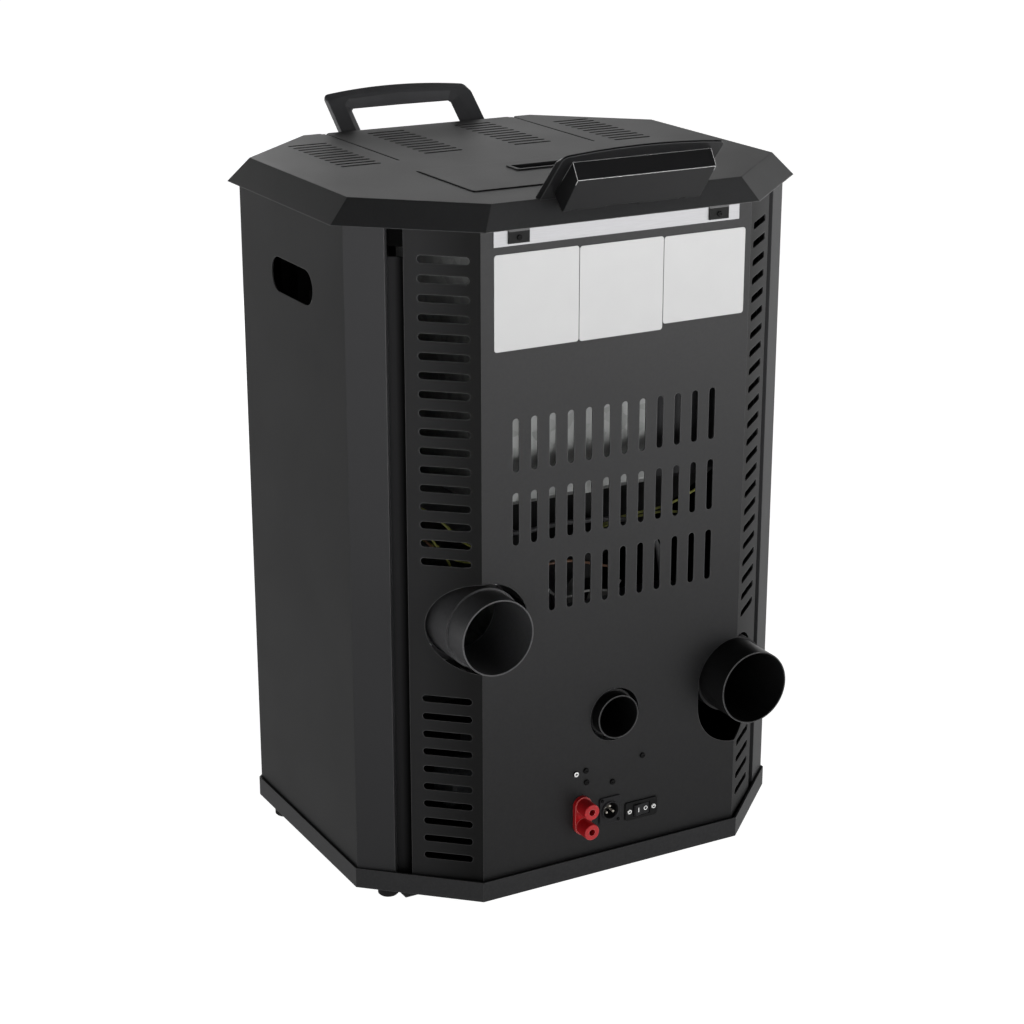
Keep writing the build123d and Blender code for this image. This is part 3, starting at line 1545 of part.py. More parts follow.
parts["hopper"] = make_hopper()
parts["hopper_grille"] = make_grille()
parts["auger_tube"] = make_auger_tube()
parts["auger_screw"] = make_auger_screw()
parts["auger_motor"] = make_auger_motor()
parts["pellet_chute"] = make_chute()


# Smoke path: collector on the firebox, volute, impeller and motor
def make_collector():
    x0 = volute_x[1]
    x1 = collector_x
    t = volute_wall
    y0 = firebox_back_y
    arm_y = volute_y + collector_half + 2
    riser_x = x1 - collector_riser_width
    riser_y = y0 + collector_riser_depth
    low = volute_z - collector_half
    high = volute_z + collector_half
    top = collector_riser_high
    outer = block(x0, x1, y0, arm_y, low, high) + block(riser_x, x1, y0, riser_y, low, top)
    arm_room = block(x0 + t, x1 - t, y0 + t, arm_y - t, low + t, high - t)
    riser_room = block(riser_x + t, x1 - t, y0 + t, riser_y - t, low + t, top - t)
    smoke_x = collector_x - collector_half
    port = block(smoke_x - 16, smoke_x + 20, y0 - 1, y0 + t + 1, top - 55, top - 10)
    eye = rod(inlet_eye_radius, (x0 - 1, volute_y, volute_z), (x0 + t + 1, volute_y, volute_z))
    return outer - (arm_room + riser_room) - port - eye


def volute_rod(radius, x0, x1):
    return rod(radius, (x0, volute_y, volute_z), (x1, volute_y, volute_z))


def volute_scroll(inset, reach):
    x0 = volute_x[0] + inset
    x1 = volute_x[1] - inset
    neck_z = (flue_z - flue_radius + inset, volute_z + volute_radius - inset)
    neck = block(x0, x1, volute_y, volute_outlet_y + reach, *neck_z)
    return volute_rod(volute_radius - inset, x0, x1) + neck


def make_volute():
    x0, x1 = volute_x
    t = volute_wall
    case = volute_scroll(0, 0) - volute_scroll(t, 5)
    case = case - volute_rod(inlet_eye_radius, x1 - t - 1, x1 + 1)
    case = case - volute_rod(blower_shaft_radius + 2.5, x0 - 1, x0 + t + 1)
    neck_low = flue_z - flue_radius
    rim = block(x0, x1, volute_outlet_y - t, volute_outlet_y, neck_low, volute_z + volute_radius)
    bore_start = (flue_x, volute_outlet_y - 5, flue_z)
    rim = rim - rod(flue_radius - pipe_wall, bore_start, (flue_x, volute_outlet_y + 5, flue_z))
    foot_high = volute_z - volute_radius + 4
    foot = block(x0 + 10, x1 - 10, volute_y - 14, volute_y + 14, tray_floor_z, foot_high)
    foot = foot - block(x0 + 12, x1 - 12, volute_y - 15, volute_y + 15, tray_floor_z + t, foot_high)
    return case + rim + (foot - volute_rod(volute_radius - 1, x0, x1))


def make_impeller():
    x_back = volute_x[0] + volute_wall + 4
    wheel = volute_rod(impeller_radius, x_back, x_back + 2) + volute_rod(9, x_back - 3, x_back + 16)
    seat = Plane(origin=(x_back + 1, volute_y, volute_z), x_dir=(0, 1, 0), z_dir=(1, 0, 0))
    blade = block(26, impeller_radius + 5, -1.2, 1.2, 0, impeller_width)
    blade = blade & Cylinder(impeller_radius - 0.1, far)
    for index in range(impeller_blade_count):
        wheel = wheel + seat * Rot(0, 0, index * 360 / impeller_blade_count) * blade
    return wheel + volute_rod(blower_shaft_radius, volute_x[0] - 12, x_back)


def make_blower_motor():
    x1 = volute_x[0]
    can_end = x1 - blower_motor_gap
    can = volute_rod(blower_motor_radius, x1 - blower_motor_length, can_end)
    can = chamfer(can.edges().filter_by(GeomType.CIRCLE), 3)
    can = can + volute_rod(blower_motor_radius - 8, can_end - 1, can_end + 4)
    for angle in (45, 135, 225, 315):
        y = volute_y + 19 * math.cos(math.radians(angle))
        z = volute_z + 19 * math.sin(math.radians(angle))
        can = can + rod(3, (can_end - 2, y, z), (x1, y, z))
    return can - volute_rod(blower_shaft_radius + shaft_play, x1 - 13, x1 + 1)


parts["smoke_collector"] = make_collector()
parts["extractor_housing"] = make_volute()
parts["extractor_impeller"] = make_impeller()
parts["extractor_motor"] = make_blower_motor()


# Room air fan: cross-flow wheel in an open scroll
def fan_rod(radius, x0, x1):
    return rod(radius, (x0, fan_y, fan_z), (x1, fan_y, fan_z))


def make_fan_housing():
    front_room, rear_room, low_room, high_room = fan_room
    y0 = fan_y - fan_radius - front_room
    y1 = fan_y + fan_radius + rear_room
    z0 = fan_z - fan_radius - low_room
    z1 = fan_z + fan_radius + high_room
    w = fan_case_half
    t = plate
    case = block(-w, w, y0, y1, z0, z1) - block(t - w, w - t, y0 + t, y1 - t, z0 + t, z1 - t)
    case = case - block(t - w, w - t, y0 + 12, y0 + 46, z1 - t - 1, z1 + 1)
    case = case - block(t - w, w - t, y1 - t - 1, y1 + 1, z0 + 16, z1 - 16)
    case = case - fan_rod(6, -w - 1, w + 1)
    tongue = block(t - w, w - t, y0 + 46, y0 + 46 + t, z1 - 12, z1 - t)
    for side in (-1, 1):
        x0 = min(side * w, side * (w - 12))
        case = case + block(x0, x0 + 12, y0, y0 + t, tray_floor_z, z0)
        case = case + block(x0, x0 + 12, y1 - t, y1, tray_floor_z, z0)
    return case + tongue


def make_fan_wheel():
    half = fan_half_length
    wheel = fan_rod(fan_radius, -half, 2 - half) + fan_rod(fan_radius, half - 2, half)
    wheel = wheel + (fan_rod(fan_radius, -1, 1) - fan_rod(fan_radius - 8, -1, 1))
    seat = Plane(origin=(1 - half, fan_y, fan_z), x_dir=(0, 1, 0), z_dir=(1, 0, 0))
    blade = Pos(fan_radius - 4.2, 0, 0) * Rot(0, 0, 35) * block(-3, 3, -0.5, 0.5, 0, 2 * half - 2)
    for index in range(fan_blade_count):
        wheel = wheel + seat * Rot(0, 0, index * 360 / fan_blade_count) * blade
    wheel = wheel + fan_rod(blower_shaft_radius, half - 1, fan_case_half + 20)
    return wheel + fan_rod(blower_shaft_radius, -fan_case_half - 3, 1 - half)


def make_fan_motor():
    x0 = fan_case_half
    motor = fan_rod(fan_motor_radius, x0 + 6, x0 + fan_motor_length)
    motor = chamfer(motor.edges().filter_by(GeomType.CIRCLE), 3)
    for angle in (45, 135, 225, 315):
        y = fan_y + 18 * math.cos(math.radians(angle))
        z = fan_z + 18 * math.sin(math.radians(angle))
        motor = motor + rod(2.5, (x0, y, z), (x0 + 7, y, z))
    bore = blower_shaft_radius + shaft_play
    bearing = pipe(9, 9 - bore, (-x0 - 5, fan_y, fan_z), (-x0, fan_y, fan_z))
    return together([motor - fan_rod(bore, x0 - 1, x0 + 22), bearing])


parts["fan_housing"] = make_fan_housing()
parts["fan_wheel"] = make_fan_wheel()
parts["fan_motor"] = make_fan_motor()


# Air plenum that feeds the duct pipe
def make_plenum():
    x0 = firebox_half_width
    x1 = duct_x + plenum_half
    z0 = duct_z - plenum_half
    z1 = duct_z + plenum_half
    t = sheet
    case = block(x0, x1, plenum_front_y, duct_flange_y, z0, z1)
    case = case - block(x0 + t, x1 - t, plenum_front_y + t, duct_flange_y - t, z0 + t, z1 - t)
    bore = duct_radius - pipe_wall
    case = case - rod(bore, (duct_x, duct_flange_y - 5, duct_z), (duct_x, duct_flange_y + 1, duct_z))
    return case - block(x0 + 12, x1 - 12, plenum_front_y + 12, plenum_front_y + 70, z0 - 1, z0 + t + 1)


parts["air_plenum"] = make_plenum()


# Igniter, control board, pressure switch and wiring
def make_igniter():
    pot_back_y = pot_centre_y + pot_half_depth
    tip_y = pot_back_y + 1.5
    sleeve_y = firebox_back_y - firebox_wall
    rear_y = sleeve_y + igniter_length
    cartridge = rod(igniter_radius, (0, tip_y, igniter_z), (0, rear_y, igniter_z))
    return cartridge + rod(igniter_sleeve_radius, (0, sleeve_y, igniter_z), (0, rear_y - 14, igniter_z))


def make_control_board():
    y0, y1 = board_y
    z0, z1 = board_z
    x1 = wall_x - board_stand_off
    x0 = x1 - board_thickness
    board = block(x0, x1, y0, y1, z0, z1)
    for y in (y0 + 6, y1 - 6):
        for z in (z0 + 6, z1 - 6):
            board = board + rod(3, (x1, y, z), (wall_x, y, z))
    board = board + block(x0 - 22, x0, y0 + 14, y0 + 52, z0 + 14, z0 + 48)
    for index in range(3):
        board = board + block(x0 - 16, x0, y0 + 66 + index * 22, y0 + 82 + index * 22, z0 + 10, z0 + 30)
    board = board + rod(9, (x0 - 26, y0 + 80, z1 - 34), (x0, y0 + 80, z1 - 34))
    return board + block(x0 - 12, x0, y0 + 12, y1 - 14, z1 - 16, z1 - 5)


def make_pressure_switch():
    x0 = -wall_x
    y = pressure_switch_y
    z = pressure_switch_z
    body = rod(pressure_switch_radius, (x0 + 6, y, z), (x0 + 24, y, z))
    body = fillet(body.edges().filter_by(GeomType.CIRCLE), 3)
    bracket = block(x0, x0 + 8, y - 9, y + 9, z - 34, z + 34)
    return body + bracket + rod(3, (x0 + 22, y, z), (x0 + 40, y, z))


def wire(points):
    radii = []
    for before, here, after in zip(points, points[1:], points[2:]):
        run_in = Vector(*here) - Vector(*before)
        run_out = Vector(*after) - Vector(*here)
        turn = math.radians(run_in.get_angle(run_out))
        radii.append(0.45 * min(run_in.length, run_out.length) / math.tan(turn / 2))
    path = FilletPolyline(*points, radius=radii)
    start = Plane(origin=points[0], z_dir=Vector(*points[1]) - Vector(*points[0]))
    return sweep(start * Circle(wire_radius), path=path)


def make_wiring():
    board_face = wall_x - board_stand_off - board_thickness
    mains = [
        (board_face - 16, 12.0, 350.0),
        (board_face - 34, 12.0, 350.0),
        (board_face - 42, 70.0, 372.0),
        (186.0, 120.0, 392.0),
        (156.0, 172.0, 402.0),
        (110.0, 198.0, 399.0),
        (60.0, 202.0, 404.0),
        (20.0, 201.0, 401.0),
        (-24.0, 203.0, 396.0),
        (-58.0, 202.0, 372.0),
        (-68.0, 200.0, 325.0),
        (-66.0, 202.0, 270.0),
        (-70.0, 200.0, 215.0),
        (-64.0, 198.0, 160.0),
        (-50.0, 172.0, 110.0),
        (switch_x + 4, 150.0, 78.0),
        (switch_x + 4, 170.0, 72.0),
        (switch_x + 4, body_half_depth - switch_depth, 72.0),
    ]
    return wire(mains)


parts["igniter"] = make_igniter()
parts["control_board"] = make_control_board()
parts["pressure_switch"] = make_pressure_switch()
parts["wiring_loom"] = make_wiring()

# The origin moves under the middle of the overall depth
os.makedirs("parts", exist_ok=True)
for name, shape in parts.items():
    solids = [Pos(0, frame_shift, 0) * solid for solid in shape.solids()]
    whole = solids[0] if len(solids) == 1 else Compound(children=solids)
    export_step(whole, f"parts/{name}.step")
print(len(parts), "sub-parts written")
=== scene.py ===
import math

import bmesh
import bpy
from bpy.props import FloatProperty, FloatVectorProperty, PointerProperty
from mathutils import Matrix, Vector


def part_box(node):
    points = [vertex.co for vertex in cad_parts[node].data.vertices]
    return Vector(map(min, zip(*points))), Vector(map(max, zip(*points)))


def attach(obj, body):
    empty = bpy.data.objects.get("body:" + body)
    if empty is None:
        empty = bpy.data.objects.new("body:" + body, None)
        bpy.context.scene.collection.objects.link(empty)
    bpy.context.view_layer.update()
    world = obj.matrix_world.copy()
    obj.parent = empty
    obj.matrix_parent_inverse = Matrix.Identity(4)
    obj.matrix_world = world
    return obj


bl_info = {
    "name": "Pellet Stove",
    "version": (1, 0, 0),
    "blender": (4, 5, 0),
    "location": "View3D > Sidebar > Stove",
    "description": "Finishes and fine details of a free-standing pellet stove",
    "category": "Object",
}

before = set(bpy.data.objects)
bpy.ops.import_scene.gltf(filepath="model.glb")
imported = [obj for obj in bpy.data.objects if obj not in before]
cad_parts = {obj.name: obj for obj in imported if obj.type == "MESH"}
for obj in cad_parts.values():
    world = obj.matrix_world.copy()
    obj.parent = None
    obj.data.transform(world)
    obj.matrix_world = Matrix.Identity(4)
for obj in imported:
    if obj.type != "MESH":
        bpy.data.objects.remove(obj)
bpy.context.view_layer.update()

CABINET = "cabinet"


# Places on the stove, in metres

REAR_FOLD = 0.1545                 # X of the folds between the rear face and its wings
FOLD_SHADOW_WIDTH = 0.0014                 # width of the painted shadow line outside each of those folds
WING_SHADE = (0.164, 0.200)        # X over which a wing goes from shade to full coat
FLANGE_FOLD = 0.1348               # Y of the fold between a side panel and its flange
CHANNEL_SHADE = (0.2088, 0.2140)   # X over which the corner channel goes from painted shade to painted light
CHANNEL_TOP = 0.6865               # the channel is painted in shade above this height
TAB_TOP = 0.7125                   # the hood's two fixing tabs lie below this height and are painted in shade
UNIT_RIDGE = 0.760                 # the control unit's edges get a painted highlight above this height
HOPPER_SEAM = 0.4262               # the hopper is painted in shade below this height
HOPPER_SHADE = (-0.055, -0.066)    # X over which the hopper goes from bare to painted shade

# Places on the rear face, as X and Z
WHITE_SCREWS = ((0.0444, 0.1284), (-0.0515, 0.07), (-0.0215, 0.07))
SCREW_RING = (0.0028, 0.0011)      # outer and inner radius
SOCKET_HOLES = ((0.0375, 0.0920), (0.0375, 0.0690))
SOCKET_BORE = 0.0024               # radius
SOCKET_DEPTH = 0.002               # the bores show brass from here inwards
INLET_MIDDLE = (0.0025, 0.0776)
INLET_BORE = 0.0066                # radius

# Each pipe with its tone and its outer radius
# The hot air pipe's lighter tone is painted light, standing in for the light on its side
PIPES = (("hot_air_pipe", 0.036, 0.040), ("flue_pipe", 0.006, 0.040),
         ("air_intake_pipe", 0.004, 0.024))
PIPE_SKIN = 0.0005                 # depth of the wall that shows the coat's worn edge
EAR_RADIUS = 0.0448                # the hot air pipe's two ears reach past this radius
EAR_DEPTH = 0.0021                 # and are bare beyond this distance from its inner end

# The rocker's two faces meet at its ridge. Each mark has its place from there along X, and
# the rise of its face over half the rocker's length.
ROCKER_HALF = 0.010
RIDGE_REACH = 0.001                # points this near to the middle belong to the ridge
ON_PLACE, ON_RISE = 0.0042, 0.00198
OFF_PLACE, OFF_RISE = -0.0050, 0.00048

# The control unit faces the front and leans back
LEAN = math.radians(43.7)
UNIT_ACROSS = Vector((-1, 0, 0))
UNIT_UP = Vector((0, math.sin(LEAN), math.cos(LEAN)))
UNIT_OUT = Vector((0, -math.cos(LEAN), math.sin(LEAN)))

# Ghost segments on the display
DIGIT_WIDTH, DIGIT_HEIGHT, DIGIT_STEP = 0.0075, 0.0135, 0.013
SEGMENT = 0.0013                   # width of one segment

BOARD_FACE = 0.0118                # the control board's parts stand this far from the wall

# The loose inner wires: points of each wire, in the order in which it runs
WIRES = {
    "earth_wire": (
        (0.205, 0.128, 0.425), (0.188, 0.160, 0.428), (0.176, 0.176, 0.4170),
        (0.1695, 0.182, 0.4090), (0.150, 0.192, 0.386), (0.090, 0.199, 0.371),
        (0.040, 0.203, 0.376), (0.0078, 0.203, 0.3886), (-0.0234, 0.203, 0.3921),
        (-0.0442, 0.203, 0.3933), (-0.0656, 0.203, 0.3937), (-0.0873, 0.203, 0.3911),
        (-0.112, 0.203, 0.382)),
    "second_earth_wire": (
        (0.206, 0.124, 0.414), (0.195, 0.150, 0.409), (0.1828, 0.170, 0.3975),
        (0.1790, 0.174, 0.3890), (0.164, 0.186, 0.372), (0.100, 0.197, 0.364),
        (0.046, 0.199, 0.372), (-0.0042, 0.199, 0.3919), (-0.0268, 0.199, 0.3945),
        (-0.0470, 0.199, 0.3955), (-0.0689, 0.199, 0.3963), (-0.0901, 0.199, 0.4000),
        (-0.114, 0.198, 0.409)),
    "brown_wire": (
        (0.208, 0.118, 0.408), (0.200, 0.146, 0.402), (0.1885, 0.165, 0.3957),
        (0.1840, 0.169, 0.3890), (0.172, 0.180, 0.3775), (0.160, 0.190, 0.3770),
        (0.1500, 0.198, 0.3750), (0.104, 0.201, 0.3640), (0.0629, 0.204, 0.3591),
        (0.0422, 0.204, 0.3597), (0.012, 0.202, 0.3500), (-0.020, 0.198, 0.3380)),
    "third_earth_wire": (
        (0.208, 0.114, 0.398), (0.198, 0.140, 0.397), (0.184, 0.166, 0.392),
        (0.1709, 0.180, 0.3772), (0.1685, 0.183, 0.3700), (0.164, 0.186, 0.352),
        (0.150, 0.190, 0.340)),
    "grey_wire": (
        (0.060, 0.186, 0.330), (0.0560, 0.194, 0.3190), (0.0419, 0.204, 0.3187),
        (0.028, 0.205, 0.3230), (0.012, 0.204, 0.3215), (-0.0006, 0.204, 0.3187),
        (-0.016, 0.198, 0.3140), (-0.028, 0.190, 0.320)),
}


# Tones beside the colours that a user would change

# Painted highlights on sharp edges; the coat's one also paints the worn rim at each pipe's open
# end
COAT_HIGHLIGHT_AND_WEAR = (0.07, 0.07, 0.071)
HOOD_EDGE_HIGHLIGHT = (0.03, 0.03, 0.031)
ARCH_EDGE_HIGHLIGHT = (0.04, 0.04, 0.041)
UNIT_EDGE_HIGHLIGHT = (0.42, 0.42, 0.42)
HANDLE_EDGE_HIGHLIGHT = (0.10, 0.10, 0.10)
SOCKET_EDGE_HIGHLIGHT = (0.62, 0.20, 0.18)
# Painted shade for the wings, the folds, the corner channel, the hood's tabs and the hopper
WING_PAINTED_SHADE = (0.001, 0.001, 0.001)
FOLD_PAINTED_SHADOW = (0.0002, 0.0002, 0.0002)
CHANNEL_PAINTED_SHADE = (0.0005, 0.0005, 0.0005)
TAB_PAINTED_SHADE = (0.001, 0.001, 0.001)
HOPPER_SIDE_PAINTED_SHADE = (0.012, 0.012, 0.013)
HOPPER_FOOT_PAINTED_SHADE = (0.004, 0.004, 0.004)
SCREW_BLACK = (0.003, 0.003, 0.003)
SCREW_WHITE = (0.72, 0.72, 0.71)
BARE_EAR = (0.60, 0.60, 0.60)
PIN_NICKEL = (0.45, 0.43, 0.38)
SOCKET_BRASS = (0.45, 0.30, 0.10)
FITTING_BLACK = (0.014, 0.014, 0.015)
BROWN_SLEEVE = (0.10, 0.045, 0.02)
GREY_SLEEVE = (0.30, 0.30, 0.30)

# Share of the powder coat's colour that these places have: sides and wings darker as painted
# shade, flanges, tray and channel lighter as painted light
SIDE_SHADE_SHARE, FLANGE_LIGHT_SHARE, WING_SHADE_SHARE, TRAY_LIGHT_SHARE, CHANNEL_LIGHT_SHARE = 0.7, 2.6, 0.9, 2.3, 1.5

# Share of the moulding's colour; the handle's larger share is painted light
HANDLE_LIGHT_SHARE, FITTING_SHARE = 13, 0.7


# Studio, in metres and degrees

EYE = (1.1824, 2.1412, 1.1821)
EYE_TILT, EYE_TURN = 71.07, 151.01
SENSOR = 36                        # millimetres, square as the picture
FAR_CLIP = 100

FLOOR_GREY = (0.3, 0.3, 0.3)
GLOW_REACH = (0.8, 2.9)            # Y over which the floor's glow grows
GLOW_SKEW = 0.25                   # how far X turns that direction
SHADED_FLOOR = (0.215, 0.165)      # half of the area beneath the stove that doesn't glow

# The surroundings fade between these heights, where the ceiling is at one
HORIZON_FADE = (0.06, 0.32)
CEILING_FADE = (0.45, 0.8)

# Each softbox with its power's setting, its size, its place and what it points at
SOFTBOXES = (
    ("rear_softbox", "rear_power", (1.2, 0.9), (-0.9, 2.0, 0.75), (0, 0.25, 0.6)),
    ("corner_softbox", "corner_power", (1.0, 0.9), (1.9, 1.5, 0.75), (0.25, 0.2, 0.6)),
    ("top_softbox", "top_power", (1.6, 0.8), (-1.3, -3.0, 1.6), (0, 0, 0.7)),
    ("front_softbox", "front_power", (1.2, 1.0), (-0.1, -2.4, 0.6), (0, -0.2, 0.35)),
)


# Properties

class StoveColours(bpy.types.PropertyGroup):
    """Colours of the stove's finishes"""

    coat: FloatVectorProperty(
        name="Powder coat", description="Charcoal coat of the cabinet panels",
        subtype="COLOR", size=3, min=0, max=1, default=(0.0102, 0.0102, 0.0106))
    hood_coat: FloatVectorProperty(
        name="Hood coat", description="Coat of the hood and the hopper lid",
        subtype="COLOR", size=3, min=0, max=1, default=(0.0125, 0.0125, 0.013))
    moulding: FloatVectorProperty(
        name="Moulding", description="Black plastic of the two arches and the control housing",
        subtype="COLOR", size=3, min=0, max=1, default=(0.006, 0.006, 0.0063))
    label: FloatVectorProperty(
        name="Label", description="White foil of the blank label plates",
        subtype="COLOR", size=3, min=0, max=1, default=(0.32, 0.32, 0.32))
    strip: FloatVectorProperty(
        name="Strip", description="Bare metal strip under the hood",
        subtype="COLOR", size=3, min=0, max=1, default=(0.225, 0.225, 0.23))
    zinc: FloatVectorProperty(
        name="Zinc", description="Galvanised sheet inside the cabinet",
        subtype="COLOR", size=3, min=0, max=1, default=(0.25, 0.255, 0.25))
    socket: FloatVectorProperty(
        name="Socket red", description="Red plastic of the twin socket",
        subtype="COLOR", size=3, min=0, max=1, default=(0.34, 0.006, 0.009))
    earth_wire: FloatVectorProperty(
        name="Earth wire", description="Yellow-green sleeve of the earth wires",
        subtype="COLOR", size=3, min=0, max=1, default=(0.26, 0.27, 0.06))
    brick: FloatVectorProperty(
        name="Fire board", description="Pressed board of the firebox lining",
        subtype="COLOR", size=3, min=0, max=1, default=(0.50, 0.42, 0.30))


class StoveDetails(bpy.types.PropertyGroup):
    """Sizes of the fine details"""

    grain: FloatProperty(
        name="Coat grain", description="Size of the powder coat's grain",
        unit="LENGTH", min=0.0002, max=0.01, default=0.0009)
    pipe_grain: FloatProperty(
        name="Pipe grain", description="Size of the grain of the pipes' and motors' paint",
        unit="LENGTH", min=0.0002, max=0.01, default=0.0012)
    mark_height: FloatProperty(
        name="Mark height", description="How far printed marks stand off their surface",
        unit="LENGTH", min=0.00002, max=0.001, default=0.0001)
    rocker_mark: FloatProperty(
        name="Rocker mark", description="Height of the on and off marks",
        unit="LENGTH", min=0.001, max=0.01, default=0.0052)
    button_mark: FloatProperty(
        name="Button mark", description="Width of the symbol on each button",
        unit="LENGTH", min=0.001, max=0.009, default=0.0046)
    wire_radius: FloatProperty(
        name="Wire radius", description="Radius of each loose inner wire",
        unit="LENGTH", min=0.0005, max=0.004, default=0.0013)
    rim_width: FloatProperty(
        name="Worn rim", description="Width of the worn coat at the open end of each pipe",
        unit="LENGTH", min=0.0, max=0.005, default=0.0007)


class StoveStudio(bpy.types.PropertyGroup):
    """Camera and light of the picture"""

    lens: FloatProperty(
        name="Lens", description="Focal length of the camera in millimetres",
        min=20, max=200, default=82.36)
    floor_size: FloatProperty(
        name="Floor", description="Edge length of the floor",
        unit="LENGTH", min=5, max=200, default=80)
    floor_glow: FloatProperty(
        name="Floor glow", description="Light that the pale floor gives off beside the stove",
        min=0, max=5, default=1.0)
    far_glow: FloatProperty(
        name="Far floor glow", description="Light that the floor gives off well behind the stove",
        min=0, max=9, default=6.5)
    horizon: FloatProperty(
        name="Horizon", description="Strength of the white surroundings near the floor",
        min=0, max=5, default=1.0)
    sky: FloatProperty(
        name="Sky", description="Strength of the surroundings half way up",
        min=0, max=5, default=0.17)
    zenith: FloatProperty(
        name="Ceiling", description="Strength of the surroundings straight above",
        min=0, max=5, default=0.06)
    rear_power: FloatProperty(
        name="Rear softbox", description="Power of the softbox that shines on the rear panel",
        unit="POWER", min=0, max=2000, default=9)
    corner_power: FloatProperty(
        name="Corner softbox", description="Power of the softbox that shines on a rear corner",
        unit="POWER", min=0, max=2000, default=2)
    top_power: FloatProperty(
        name="Top softbox", description="Power of the softbox that is mirrored in the hood",
        unit="POWER", min=0, max=2000, default=3.0)
    front_power: FloatProperty(
        name="Front softbox", description="Power of the softbox that shines on the door",
        unit="POWER", min=0, max=2000, default=13)


# Materials

NOISE_RANGE = (0.3, 0.7)           # a noise texture stays mostly between these values

# Cosine between a rounded edge's direction and the true one, where the painted edge highlight
# starts and is full
HIGHLIGHT_STARTS, HIGHLIGHT_FULL = 0.995, 0.88


def tinted(colour, share):
    """The colour made darker or lighter."""
    return tuple(value * share for value in colour)


